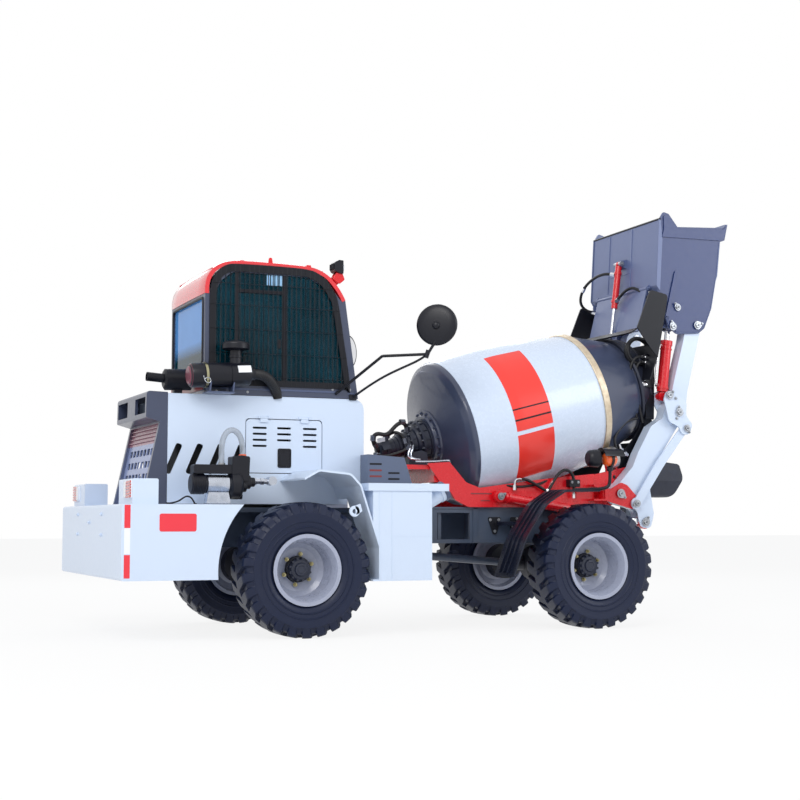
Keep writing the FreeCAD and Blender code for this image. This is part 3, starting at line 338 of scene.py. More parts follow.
def makeGlass(name, tint, body, sky=None):
    # thin tinted pane, partly see-through, its tone a little cloudy; sky is (colour, X below which it holds,
    # Z above which it holds): a painted reflection of the sky on the same solid, and a thicker body behind
    # that X
    mat, tree, inputs = newMaterial(name, {"Roughness": 0.03, "IOR": 1.5, "Specular IOR Level": 0.18})
    depth, skyBody, clouded = 0.04, 0.9, tuple(0.55 * c for c in tint[:3]) + (1,)
    where = node(tree, "TexCoord").outputs["Object"]
    haze = noise(tree, where, Scale=3.4, Detail=6.0)
    shade = mixColour(tree, ramp(tree, haze, 0.35, 0.65), tint, clouded)
    alpha = ramp(tree, haze, 0.2, 0.8, body - depth, body + depth)
    if sky:
        colour, rear, sill = sky
        split = node(tree, "SeparateXYZ", Vector=where).outputs
        behind = ramp(tree, split["X"], rear - 0.02, rear + 0.02, 1.0, 0.0)
        above = ramp(tree, split["Z"], sill - 0.05, sill + 0.05)
        # painted reflection of the sky: sky blue laid on the upper rear pane, and the whole rear pane made
        # less see-through
        shade = mixColour(tree, maths(tree, "MULTIPLY", behind, above), shade, colour)
        alpha = maths(tree, "MULTIPLY_ADD", behind, skyBody - body, alpha)
    feed(tree, shade, inputs["Base Color"])
    feed(tree, alpha, inputs["Alpha"])
    return mat


# the cab's rear pane gets a painted sky reflection above its sill
paneGlass = makeGlass("paneGlass", tone(2, 62, 78), 0.78, sky=(tone(92, 156, 226), -1.9, 2.13))
doorGlass = makeGlass("doorGlass", tone(4, 74, 94), 0.74)
clearTube = makeGlass("clearTube", tone(205, 214, 226), 0.5)


def byPlace(source, name, masks):
    # a copy of a finish with other colours laid over it by place; masks(tree, width, height) gives the
    # pairs of factor and colour, from the distance to the middle plane and the height
    mat = source.copy()
    mat.name = name
    tree = mat.node_tree
    base = tree.nodes["Principled BSDF"].inputs["Base Color"]
    split = node(tree, "SeparateXYZ", Vector=node(tree, "TexCoord").outputs["Object"]).outputs
    colour = base.links[0].from_socket
    for factor, other in masks(tree, maths(tree, "ABSOLUTE", split["Y"]), split["Z"]):
        colour = mixColour(tree, factor, colour, other)
    feed(tree, colour, base)
    return mat


# the bucket's end plates carry a painted shade over the bucket paint
bucketValues = {"ends": (0.5335, 0.5345), "paintedShade": tone(34, 54, 108)}
grilleValues = {"side": (0.437, 0.441), "edge": 0.002,
                "bands": ((0.955, 1.404, tone(134, 148, 190)), (1.404, 1.546, tone(160, 110, 126)))}


def bucketShadeMasks(tree, width, height):
    # painted shade: the outer faces of the two end plates are laid over with a darker slate, so they read as
    # in shade beside the back
    return [(ramp(tree, width, *bucketValues["ends"]), bucketValues["paintedShade"])]


def grilleMasks(tree, width, height):
    # between the side posts the perforated plate is paler and the louvred panel above it reddish
    made = []
    inside = ramp(tree, width, *grilleValues["side"], 1.0, 0.0)
    edge = grilleValues["edge"]
    for low, high, colour in grilleValues["bands"]:
        above = ramp(tree, height, low - edge, low + edge)
        below = ramp(tree, height, high - edge, high + edge, 1.0, 0.0)
        made.append((maths(tree, "MULTIPLY", maths(tree, "MULTIPLY", above, below), inside), colour))
    return made


bucketWithPaintedShade = byPlace(bucketPaint, "bucketWithPaintedShade", bucketShadeMasks)
grilleFinish = byPlace(slatePaint, "grilleFinish", grilleMasks)
print("finishes ready")

# finishes of the carried-over solids
nodeFinish = {
    whitePaint: ("cistern", "hood", "hood_hatch", "rear_fenders", "side_tanks", "loading_arms", "bell_cranks",
                 "level_links"),
    slatePaint: ("drum_ends", "cab_shell", "cab_door"),
    grilleFinish: ("grille_housing",),
    bucketWithPaintedShade: ("bucket", "gate"),
    chassisPaint: ("front_frame", "rear_frame"),
    redPaint: ("cradle", "cab_roof", "lift_barrels", "tilt_barrels", "gate_barrel"),
    drumWhite: ("drum_shell",),
    blackPaint: ("exhaust", "window_guard", "mirrors", "hoppers", "work_lamps"),
    rimPaint: ("rim_rear_near", "rim_rear_door", "rim_front_near", "rim_front_door"),
    axlePaint: ("rear_axle", "front_axle"),
    castIron: ("drum_drive",),
    engineCast: ("engine",),
    tyreRubber: ("tyre_rear_near", "tyre_rear_door", "tyre_front_near", "tyre_front_door"),
    blackPlastic: ("air_cleaner",),
    coverPaint: ("valve_cover",),
    chuteRubber: ("chute",),
    mudPlastic: ("front_mudguards",),
    seatVinyl: ("seat_and_wheel",),
    chromeRod: ("lift_rods", "tilt_rods", "gate_rod"),
    zincPlate: ("bucket_pins",),
    bandSteel: ("drum_band",),
    rollerSteel: ("roller_near", "roller_door"),
    lampOrange: ("turn_lamps",),
    paneGlass: ("cab_glass",),
    doorGlass: ("door_glass",),
    pipeSteel: ("water_pump",),
}
for material, names in nodeFinish.items():
    for name in names:
        mesh = nodes[name].data
        mesh.materials.clear()
        mesh.materials.append(material)
left = sorted(set(nodes) - {n for names in nodeFinish.values() for n in names})
print("finishes on solids; without one:", left)


# surfaces; lengths are in the drawing's millimetres where nothing else is said
def spot(x, y, z, ahead=124.0):
    # millimetres from the steering pivot, which stands 124 mm behind the scene's middle, in scene metres
    return np.stack(np.broadcast_arrays((np.asarray(x, float) - ahead) / 1000, np.asarray(y, float) / 1000,
                                        np.asarray(z, float) / 1000), -1)


def gridFaces(rows, columns, loopRows=False, loopColumns=False):
    # quads between neighbouring rows and columns of a grid of points
    i, j = np.meshgrid(np.arange(rows - (not loopRows)), np.arange(columns - (not loopColumns)),
                       indexing="ij")
    nextRow, nextColumn = (i + 1) % rows, (j + 1) % columns
    corners = [i * columns + j, nextRow * columns + j, nextRow * columns + nextColumn,
               i * columns + nextColumn]
    return np.stack(corners, -1).reshape(-1, 4).tolist()


def gridSurface(points, loopRows=False, loopColumns=False):
    # points[row, column] joined by quads; open row ends are closed by one flat face each
    rows, columns = points.shape[:2]
    faces = gridFaces(rows, columns, loopRows, loopColumns)
    if not loopRows:
        faces.append(list(range(columns)))
        faces.append(list(range((rows - 1) * columns, rows * columns)))
    return points.reshape(-1, 3), faces


def unitSteps(path, closed):
    # unit vectors along a path
    step = np.roll(path, -1, 0) - np.roll(path, 1, 0) if closed else np.gradient(path, axis=0)
    return step / np.linalg.norm(step, axis=1, keepdims=True)


def frameAlong(path, closed=False):
    # unit vectors across a path: one square to the plane it lies nearest to, the other square to both
    along = unitSteps(path, closed)
    centred = path - path.mean(0)
    flat = np.linalg.svd(centred)[2][2]
    if np.max(np.abs(along @ flat)) > 0.95:
        flat = np.linalg.svd(centred)[2][1]
    across = np.cross(along, flat)
    across /= np.linalg.norm(across, axis=1, keepdims=True)
    return across, np.cross(along, across)


def tube(path, radius, sides=12, closed=False):
    # circle of the given radius in metres (one value or one for each point) swept along a path
    path = np.asarray(path, float)
    u, v = frameAlong(path, closed)
    turn = np.linspace(0, 2 * np.pi, sides, endpoint=False)
    r = np.broadcast_to(np.asarray(radius, float), (len(path),))[:, None, None]
    ring = np.cos(turn)[None, :, None] * u[:, None] + np.sin(turn)[None, :, None] * v[:, None]
    return gridSurface(path[:, None] + r * ring, loopRows=closed, loopColumns=True)


def curveSpans(points, count, closed):
    # the four points that govern each place on a smooth line, and the share of the way along its span
    p = np.asarray(points, float)
    ends = (p[-1:], p, p[:2]) if closed else (2 * p[:1] - p[1:2], p, 2 * p[-1:] - p[-2:-1])
    p = np.concatenate(ends)
    spans = len(p) - 3
    t = np.linspace(0, spans, count, endpoint=not closed)
    k = np.minimum(t.astype(int), spans - 1)
    return p[k], p[k + 1], p[k + 2], p[k + 3], (t - k)[:, None]


def smoothLine(points, count=40, closed=False):
    # cubic B-spline with the given points as its control points, clamped at its ends
    a, b, c, d, u = curveSpans(points, count, closed)
    return ((1 - u) ** 3 * a + (3 * u ** 3 - 6 * u ** 2 + 4) * b
            + (-3 * u ** 3 + 3 * u ** 2 + 3 * u + 1) * c + u ** 3 * d) / 6


def through(points, count=60, closed=False):
    # smooth line through its points: cubic pieces whose slope at a point is that between its neighbours
    a, b, c, d, u = curveSpans(points, count, closed)
    square, cube = 2 * a - 5 * b + 4 * c - d, 3 * b - a - 3 * c + d
    return 0.5 * (2 * b + (c - a) * u + square * u ** 2 + cube * u ** 3)


def hose(x, y, z, radius, count=40, sides=12):
    # round hose or pipe on a smooth line; its radius is in metres
    return tube(smoothLine(spot(x, y, z), count), radius, sides)


def inset(line, distance, closed=False):
    # a flat line moved sideways by a distance, square to its own run
    q = np.asarray(line, float)
    step = unitSteps(q, closed)
    return q + distance * np.stack([step[:, 1], -step[:, 0]], -1)


def ringBand(outer, inner, low, high):
    # closed flat frame between two closed lines, carried from low to high in Y
    o, i = np.asarray(outer, float), np.asarray(inner, float)
    rows = [spot(line[:, 0], y, line[:, 1]) for line, y in ((o, low), (o, high), (i, high), (i, low))]
    return gridSurface(np.stack(rows), loopRows=True, loopColumns=True)


def axisFrame(direction):
    # unit vector along a direction and two square to it
    along = np.asarray(direction, float)
    along = along / np.linalg.norm(along)
    side = np.cross(along, [0, 0, 1] if abs(along[2]) < 0.9 else [1, 0, 0])
    side /= np.linalg.norm(side)
    return along, side, np.cross(along, side)


def turned(profile, origin, direction, sides=48, loop=False):
    # a (station, radius) line in metres spun about an axis; a loop profile closes on itself
    profile = np.asarray(profile, float)
    along, u, v = axisFrame(direction)
    turn = np.linspace(0, 2 * np.pi, sides, endpoint=False)
    ring = np.cos(turn)[:, None] * u + np.sin(turn)[:, None] * v
    station, radius = profile[:, 0][:, None, None], profile[:, 1][:, None, None]
    return gridSurface(np.asarray(origin) + station * along + radius * ring[None], loopRows=loop,
                       loopColumns=True)


def sleeve(origin, direction, start, end, inner, outer, sides=6):
    # plain ring about an axis between two stations and two radii, in metres
    profile = [(start, inner), (start, outer), (end, outer), (end, inner)]
    return turned(profile, origin, direction, sides, loop=True)


def rod(origin, direction, start, end, radius, sides=24):
    # plain round bar about an axis between two stations, in metres
    return turned([(start, 0.0), (start, radius), (end, radius), (end, 0.0)], origin, direction, sides)


def rounded(points, arcSteps=5):
    # a closed outline whose corners with a third number are arcs of that radius
    p = [tuple(q) + (0,) * (3 - len(q)) for q in points]
    out = []
    for i, (x, y, r) in enumerate(p):
        here = np.array([x, y], float)
        if not r:
            out.append(here[None])
            continue
        back = np.array(p[i - 1][:2], float) - here
        ahead = np.array(p[(i + 1) % len(p)][:2], float) - here
        back, ahead = back / np.linalg.norm(back), ahead / np.linalg.norm(ahead)
        half = math.acos(np.clip(back @ ahead, -1, 1)) / 2
        reach = r / math.tan(half)
        middle = here + (back + ahead) / np.linalg.norm(back + ahead) * r / math.sin(half)
        a, b = here + back * reach - middle, here + ahead * reach - middle
        t = np.linspace(0, 1, arcSteps + 1)[:, None]
        swing = math.pi - 2 * half
        out.append(middle + (np.sin((1 - t) * swing) * a + np.sin(t * swing) * b) / math.sin(swing))
    return np.concatenate(out)


def slab(outline, low, high, axis="y", arcSteps=5):
    # a flat outline, its corners rounded, carried from low to high along one axis: (X, Z), (X, Y) or (Y, Z)
    q = rounded(outline, arcSteps)
    ends = np.array([low, high], float)[:, None]
    a, b = np.broadcast_to(q[:, 0], (2, len(q))), np.broadcast_to(q[:, 1], (2, len(q)))
    c = np.broadcast_to(ends, (2, len(q)))
    order = {"y": (a, c, b), "z": (a, b, c), "x": (c, a, b)}[axis]
    return gridSurface(spot(*order), loopColumns=True)


def box(x0, x1, z0, z1, corner=0):
    # outline of a rectangle with equal corners
    return [(x0, z0, corner), (x1, z0, corner), (x1, z1, corner), (x0, z1, corner)]


def panel(x0, x1, z0, z1, corner, low, high, axis="y"):
    return slab(box(x0, x1, z0, z1, corner), low, high, axis)


def joinParts(parts):
    # several closed surfaces as one list of points and faces
    points, faces, base = [], [], 0
    for p, f in parts:
        points.append(p)
        faces += [[base + k for k in face] for face in f]
        base += len(p)
    return np.concatenate(points), faces


def piece(name, parts, material, body, smooth=38, bevel=0.0, segments=2):
    # one object from closed surfaces, its faces turned outward; without a body it rides on nothing yet
    points, faces = joinParts(parts if isinstance(parts, list) else [parts])
    mesh = bpy.data.meshes.new(name)
    mesh.from_pydata(points.tolist(), [], faces)
    clean = bmesh.new()
    clean.from_mesh(mesh)
    bmesh.ops.remove_doubles(clean, verts=clean.verts, dist=1e-6)
    bmesh.ops.recalc_face_normals(clean, faces=clean.faces)
    clean.to_mesh(mesh)
    clean.free()
    mesh.materials.append(material)
    mesh.shade_smooth()
    mesh.set_sharp_from_angle(angle=math.radians(smooth))
    obj = addObject(name, mesh)
    if bevel:
        soft = obj.modifiers.new("softEdge", "BEVEL")
        soft.width = bevel
        soft.segments = segments
        soft.limit_method = "ANGLE"
        soft.angle_limit = math.radians(35)
        soft.harden_normals = True
    if body:
        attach(obj, body)
    return obj


def mirrorY(part):
    points, faces = part
    return points * np.array([1, -1, 1]), faces


bothSides = ((-1, "near"), (1, "door"))


def pairs(body, *rows):
    # pieces drawn on the near side, then their mirror images; a row is (name, parts, material, edge values)
    for side, tag in bothSides:
        for name, parts, material, edges in rows:
            moved = parts if side < 0 else [mirrorY(part) for part in parts]
            piece(name + "." + tag, moved, material, body, **edges)


def manyOf(part, places, normals):
    # copies of a small part drawn about its own Z axis, each set on a place with its Z along a normal
    points, faces = part
    places, normals = np.atleast_2d(places), np.atleast_2d(np.asarray(normals, float))
    normals = np.broadcast_to(normals, places.shape)
    n = normals / np.linalg.norm(normals, axis=1, keepdims=True)
    helper = np.where(np.abs(n[:, 2:3]) < 0.9, [[0.0, 0, 1]], [[1.0, 0, 0]])
    u = np.cross(n, helper)
    u /= np.linalg.norm(u, axis=1, keepdims=True)
    v = np.cross(n, u)
    moved = (places[:, None] + points[None, :, :1] * u[:, None] + points[None, :, 1:2] * v[:, None]
             + points[None, :, 2:] * n[:, None])
    joined = [[k + i * len(points) for k in face] for i in range(len(places)) for face in faces]
    return moved.reshape(-1, 3), joined


def hexBolt(size, height):
    # washer, chamfered six-sided head and a short thread end, drawn about Z
    rows = (([(0, 1.25), (0.25, 1.25)], 16), ([(0.2, 0.97), (0.9, 0.97), (1, 0.82)], 6),
            ([(0.5, 0.45), (1.25, 0.45), (1.35, 0.36)], 10))
    return joinParts([turned([(height * s, size * r) for s, r in line], (0, 0, 0), (0, 0, 1), sides)
                      for line, sides in rows])


def bolts(size, height, places, normal):
    return manyOf(hexBolt(size, height), places, normal)


drumAxis = {"lean": 14.5, "x": 800, "z": 1667}


def drumPoint(station, angle, radius):
    # point on the drum by station along its axis, turn about it (0 faces up, -90 the near side) and radius
    lean = math.radians(drumAxis["lean"])
    across = np.sin(np.radians(angle)) * radius
    up = np.cos(np.radians(angle)) * radius
    c, n = math.cos(lean), math.sin(lean)
    return spot(drumAxis["x"] + station * c - up * n, across, drumAxis["z"] + station * n + up * c)


drumAhead = drumPoint(1000, 0, 0) - drumPoint(0, 0, 0)

# wheels
tyreValues = {"outer": 485.0, "bead": 250.0, "width": 332.0, "track": 854.0, "steps": 520, "lugs": 26,
              "lugHeight": 26.0, "slant": 0.62, "gap": 0.33, "gapGrowth": 0.10, "edge": 0.035, "pull": 7.0,
              "middleRib": 0.13, "ribEdge": 0.03}
wheelValues = {"z": 485, "hubFace": 784.0, "nutCircle": 112, "ribCircle": 77}


def tyreSurface(x, side, v):
    # ring of a rounded section; its radius is cut by grooves whose line runs aslant from each shoulder
    # towards the middle, so that blocks of rubber stand between them
    half = v["width"] / 2
    outer, bead = v["outer"], v["bead"]
    turn = np.linspace(0, 2 * np.pi, v["steps"], endpoint=False)
    # half section from the bead to the tread: (station from the side, radius, share of lug depth)
    low = [(46, -2, 0), (30, 10, 0), (14, 34, 0), (9, 52, 0), (4, 56, 0), (4, 61, 0), (8, 65, 0), (4, 92, 0),
           (-1, 95, 0), (-1, 100, 0), (2, 103, 0)]
    high = [(0, 100, 0), (-3, 84, 0), (-3, 76, 0.0), (2, 68, 0.35), (6, 44, 0.8), (12, 22, 1), (19, 8, 1),
            (30, 2, 1)]
    wall = [(s - half, bead + r, share) for s, r, share in low]
    wall += [(s - half, outer - r, share) for s, r, share in high]
    tread = [(s, outer - 2 + 4 * (1 - (s / half) ** 2), 1) for s in np.linspace(-half + 38, half - 38, 41)]
    line = np.array(wall + tread + [(-s, r, share) for s, r, share in wall[::-1]])
    s, r, depth = line[:, 0][:, None], line[:, 1][:, None], line[:, 2][:, None]
    u = s / half                                   # -1 to 1 across
    lean = v["slant"] * np.abs(u)
    phase = (turn[None] * v["lugs"] / (2 * np.pi) + lean + np.where(u < 0, 0.0, 0.5)) % 1.0
    gap = v["gap"] + v["gapGrowth"] * np.clip((np.abs(u) - 0.5) * 2, 0, 1)
    groove = np.clip((np.abs(phase - 0.5) - (0.5 - gap / 2)) / v["edge"] + 0.5, 0, 1)
    cut = groove * np.clip((np.abs(u) - v["middleRib"]) / v["ribEdge"], 0, 1)
    pull = np.sign(u) * v["pull"] * cut * depth * (np.abs(u) > 0.8)

    def rings(station, radius):
        return spot(x + np.cos(turn) * radius, side * (v["track"] + station), outer + np.sin(turn) * radius)

    # the ring is closed under the beads
    points = np.concatenate([rings(-half + 60, bead - 14)[None],
                             rings(s - pull, r - v["lugHeight"] * depth * cut),
                             rings(half - 60, bead - 14)[None]])
    return gridSurface(points, loopRows=True, loopColumns=True)


def wheelDetails(x, side, v):
    # hub drum with a stepped cap and twelve ribs round it, and six nuts
    y, z = side * v["hubFace"], v["z"]
    out = np.array([0, side, 0], float)
    hub = turned([(0.0, 0.090), (0.012, 0.090), (0.018, 0.084), (0.030, 0.084), (0.036, 0.080),
                  (0.052, 0.080), (0.058, 0.074), (0.070, 0.070), (0.074, 0.050), (0.080, 0.046),
                  (0.088, 0.044), (0.090, 0.030), (0.086, 0.026), (0.086, 0.0005)], spot(x, y, z), out, 48)
    reach = v["ribCircle"]
    ribs = [turned([(0.010, 0.011), (0.066, 0.010)],
                   spot(x + reach * math.cos(a), y, z + reach * math.sin(a)), out, 8)
            for a in np.radians(np.arange(0, 360, 30) + 15)]
    a = np.radians(np.arange(0, 360, 60) + 20)
    reach = v["nutCircle"]
    nuts = bolts(0.0125, 0.024, spot(x + reach * np.cos(a), y + side * 4, z + reach * np.sin(a)), out)
    return [hub] + ribs, nuts


for end, x in (("rear", -1203.0), ("front", 1203.0)):
    for side, sideName in bothSides:
        body = "wheel_" + end + "_" + sideName
        tyre = piece("tyre." + end + "." + sideName, tyreSurface(x, side, tyreValues), tyreRubber, body,
                     smooth=32)
        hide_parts("tyre_" + end + "_" + sideName)
        hubParts, nuts = wheelDetails(x, side, wheelValues)
        piece("hub." + end + "." + sideName, hubParts, castIron, body, smooth=30)
        piece("nuts." + end + "." + sideName, nuts, yellowZinc, body, smooth=30)
print("wheels ready")

# the drum's colours, weld beads and flange
colourValues = {"lift": 1.2, "turns": (0, 180), "stations": (-137, 200),
                "redTurns": ((-139, -101.8), (-98.8, -33)), "lines": ((-83.4, 1.0), (-91.4, 1.2)),
                "skin": ((-470, -300, -60, 200, 735, 795, 1185), (600, 622, 636, 629, 567, 567, 430))}
beadValues = {"beads": ((-466, 600.5), (733, 567.5), (800, 565.5), (1186, 429)), "bead": 0.0035,
              "flange": ((-0.004, 0.05), (-0.004, 0.232), (-0.020, 0.228), (-0.026, 0.20), (-0.05, 0.192),
                         (-0.05, 0.05))}


def drumSheet(v, a0, a1, lift):
    # thin closed sheet on the drum's skin between two turns
    s, a = np.meshgrid(np.linspace(*v["stations"], 24), np.linspace(a0, a1, 60), indexing="ij")
    skin = np.interp(s, *v["skin"])
    top, base = drumPoint(s, a, skin + lift), drumPoint(s, a, skin - 1.0)
    return gridSurface(np.concatenate([top, base[:, ::-1]], axis=1), loopColumns=True)


def drumColours(v):
    red, black = [], []
    for turn in v["turns"]:
        red += [drumSheet(v, a0 + turn, a1 + turn, v["lift"]) for a0, a1 in v["redTurns"]]
        black += [drumSheet(v, a0 + turn, a0 + wide + turn, v["lift"] + 0.8) for a0, wide in v["lines"]]
    piece("drumPatch", red, patchRed, "drum", smooth=50)
    piece("drumLines", black, blackPaint, "drum", smooth=50)


def drumTrim(v):
    # weld beads round the drum where its rings meet, and the bolted flange that the gearbox turns
    turn = np.linspace(0, 360, 160, endpoint=False)
    beads = [tube(drumPoint(s, turn, r), v["bead"], 8, closed=True) for s, r in v["beads"]]
    piece("drumBeads", beads[:2], drumWhite, "drum")
    piece("coneBeads", beads[2:], slatePaint, "drum")
    flange = turned(v["flange"], drumPoint(-608, 0, 0), drumAhead, 64)
    ring = bolts(0.011, 0.014, drumPoint(-630, np.arange(0, 360, 22.5), 212), -drumAhead)
    piece("driveFlange", [flange, ring], slatePaint, "drum", smooth=30)


drumColours(colourValues)
drumTrim(beadValues)
print("drum colours ready")

# cistern: tape, blank plate, tail lamps, bolts
cisternValues = {"face": -1074, "tape": (-2540, -2499), "reds": ((787, 944), (449, 606)),
                 "whites": ((612, 787),), "plate": (-2299, -2040, 763, 885),
                 "boltX": -2560.0, "boltY": (-430, 430, 0, -430, 430), "boltZ": (884, 884, 824, 736, 736),
                 "cableX": (-2240, -2205, -2150, -2095, -2055, -2022),
                 "cableY": (1024, 1016, 1000, 985, 975, 968), "cableZ": (957, 958, 972, 1003, 996, 952)}


def cisternTrim(v):
    face, (x0, x1) = v["face"], v["tape"]
    red = [panel(x0, x1, a, b, 2, face - 1.2, face + 1) for a, b in v["reds"]]
    white = [panel(x0, x1, a, b, 0, face - 1.2, face + 1) for a, b in v["whites"]]
    pairs("engine_frame", ("tapeRed", red, tapeRed, {}), ("tapeWhite", white, tapeWhite, {}))
    piece("blankPlate", panel(*v["plate"], 14, face - 2.5, face + 1), tapeRed, "engine_frame", bevel=0.0008)
    places = spot(v["boltX"], v["boltY"], v["boltZ"])
    piece("cisternBolts", bolts(0.012, 0.012, places, (-1, 0, 0)), whitePaint, "engine_frame", smooth=30)
    clear, red, back = [], [], []
    for side, _ in bothSides:
        back.append(panel(side * 808, side * 1024, 988, 1114, 14, -2487, -2477, "x"))
        clear.append(panel(side * 818, side * 880, 996, 1106, 8, -2494, -2484, "x"))
        for k in range(6):
            z0 = 992 + 20 * k
            q = [(side * 886, z0), (side * 1020, z0 + 4), (side * 1020, z0 + 18), (side * 886, z0 + 14)]
            red.append(slab(q, -2494 + k % 2, -2484, "x"))
    piece("tailLampBacks", back, plateWhite, "engine_frame", bevel=0.002)
    piece("tailLampClear", clear, lampClear, "engine_frame", bevel=0.003, segments=3)
    piece("tailLampRed", red, lampRed, "engine_frame", bevel=0.001)
    for side, tag in bothSides:
        cable = through(spot(v["cableX"], side * np.array(v["cableY"]), v["cableZ"]), 40)
        end = cable[-1] - [0, 0, 0.002]
        grommet = turned([(0, 0.014), (0.008, 0.012), (0.008, 0.006)], end, (0, 0, 1), 16)
        piece("lampCable." + tag, [tube(cable, 0.006, 8), grommet], blackPlastic, "engine_frame")


cisternTrim(cisternValues)

# water pump
pumpValues = {"y": -760, "z": 1098, "hoseX": (-1776, -1776, -1776, -1762, -1700, -1634, -1618, -1618),
              "hoseZ": (1236, 1300, 1370, 1452, 1505, 1452, 1370, 1300), "hose": 0.021, "wire": 0.0014,
              "turns": 22}


def waterPump(v):
    y, z = v["y"], v["z"]
    ahead, upward = (1, 0, 0), (0, 0, 1)
    body = turned([(0, 0.0), (0, 0.062), (0.008, 0.070), (0.100, 0.072), (0.104, 0.066), (0.118, 0.066)],
                  spot(-2004, y, z), ahead, 40)
    fins = [sleeve(spot(-1996 + 12 * k, y, z), ahead, 0, 0.004, 0.055, 0.075, 40) for k in range(8)]
    top = slab([(-1990, 1172, 8), (-1672, 1172, 8), (-1672, 1236, 12), (-1990, 1236, 12)], y - 52, y + 52)
    tower = [(-1712, 1120, 10), (-1585, 1120, 10), (-1578, 1296, 14), (-1640, 1304, 10), (-1712, 1296, 14)]
    tower = slab(tower, y - 58, y + 58)
    volute = turned([(0, 0.02), (0, 0.075), (0.012, 0.098), (0.07, 0.102), (0.09, 0.085), (0.10, 0.05),
                     (0.13, 0.046), (0.13, 0.0)], spot(-1724, y, z - 8), ahead, 48)
    low = turned([(0, 0.0), (0, 0.04), (0.03, 0.044), (0.05, 0.03), (0.05, 0)], spot(-1660, y, 990),
                 upward, 24)
    nose = turned([(0, 0.03), (0.03, 0.05), (0.075, 0.05), (0.08, 0.034), (0.11, 0.034), (0.11, 0)],
                  spot(-1640, y, z + 16), ahead, 32)
    parts = [body, top, tower, volute, low, nose] + fins
    casting = piece("pumpCasting", parts, blackPlastic, "engine_frame", bevel=0.003)
    motor = rod(spot(-1886, y, z), ahead, 0, 0.158, 0.066, 48)
    foot = slab([(-1880, 1040), (-1730, 1040), (-1715, 958, 4), (-1895, 958, 4)], y - 40, y + 40)
    piece("pumpMotor", [motor, foot], pipeSteel, "engine_frame", bevel=0.002)
    outlet = [turned([(0, 0.018), (0, 0.030), (0.018, 0.030), (0.022, 0.022), (0.05, 0.022), (0.052, 0.027),
                      (0.075, 0.027), (0.075, 0.018)], spot(-1536, y, z + 22), ahead, 6),
              rod(spot(-1480, y, z + 24), ahead, 0, 0.09, 0.020),
              turned([(0, 0.024), (0, 0.033), (0.075, 0.033), (0.075, 0.024), (0.02, 0.024), (0.02, 0.0005),
                      (0.012, 0.0005)], spot(-1402, y - 42, z + 26), (0, 1, 0), 32)]
    piece("pumpOutlet", outlet, pipeSteel, "engine_frame", smooth=30)
    # clear hose with a wire wound in its wall
    points = spot(v["hoseX"], y, v["hoseZ"])
    piece("clearHose", tube(smoothLine(points, 44), v["hose"], 20), clearTube, "engine_frame")
    coil = smoothLine(points, 300)
    across, square = frameAlong(coil)
    turn = np.linspace(0, 2 * np.pi * v["turns"], 300)[:, None]
    wire = coil + (v["hose"] - 0.0015) * (np.cos(turn) * across + np.sin(turn) * square)
    piece("clearHoseWire", tube(wire, v["wire"], 6), pipeSteel, "engine_frame")
    clamp = sleeve(spot(-1618, y, 1300), upward, 0, 0.014, 0.020, 0.027, 32)
    piece("hoseClamp", clamp, lampOrange, "engine_frame")
    cuff = sleeve(spot(-1776, y, 1238), upward, 0, 0.012, 0.020, 0.026, 32)
    piece("hoseCuff", cuff, zincPlate, "engine_frame")
    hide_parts("water_pump")


waterPump(pumpValues)

# air cleaner and its hose
cleanerValues = {"y": -600, "capX": -1630, "neckZ": 1918, "capZ": 2082,
                 "hoseX": (-1496, -1456, -1400, -1336, -1292, -1268, -1262),
                 "hoseOut": (0, 0, 10, 50, 96, 128, 136), "hoseZ": (1914, 1917, 1908, 1868, 1822, 1786, 1756),
                 "hose": 0.0385, "rib": 0.0012, "ribs": 24}


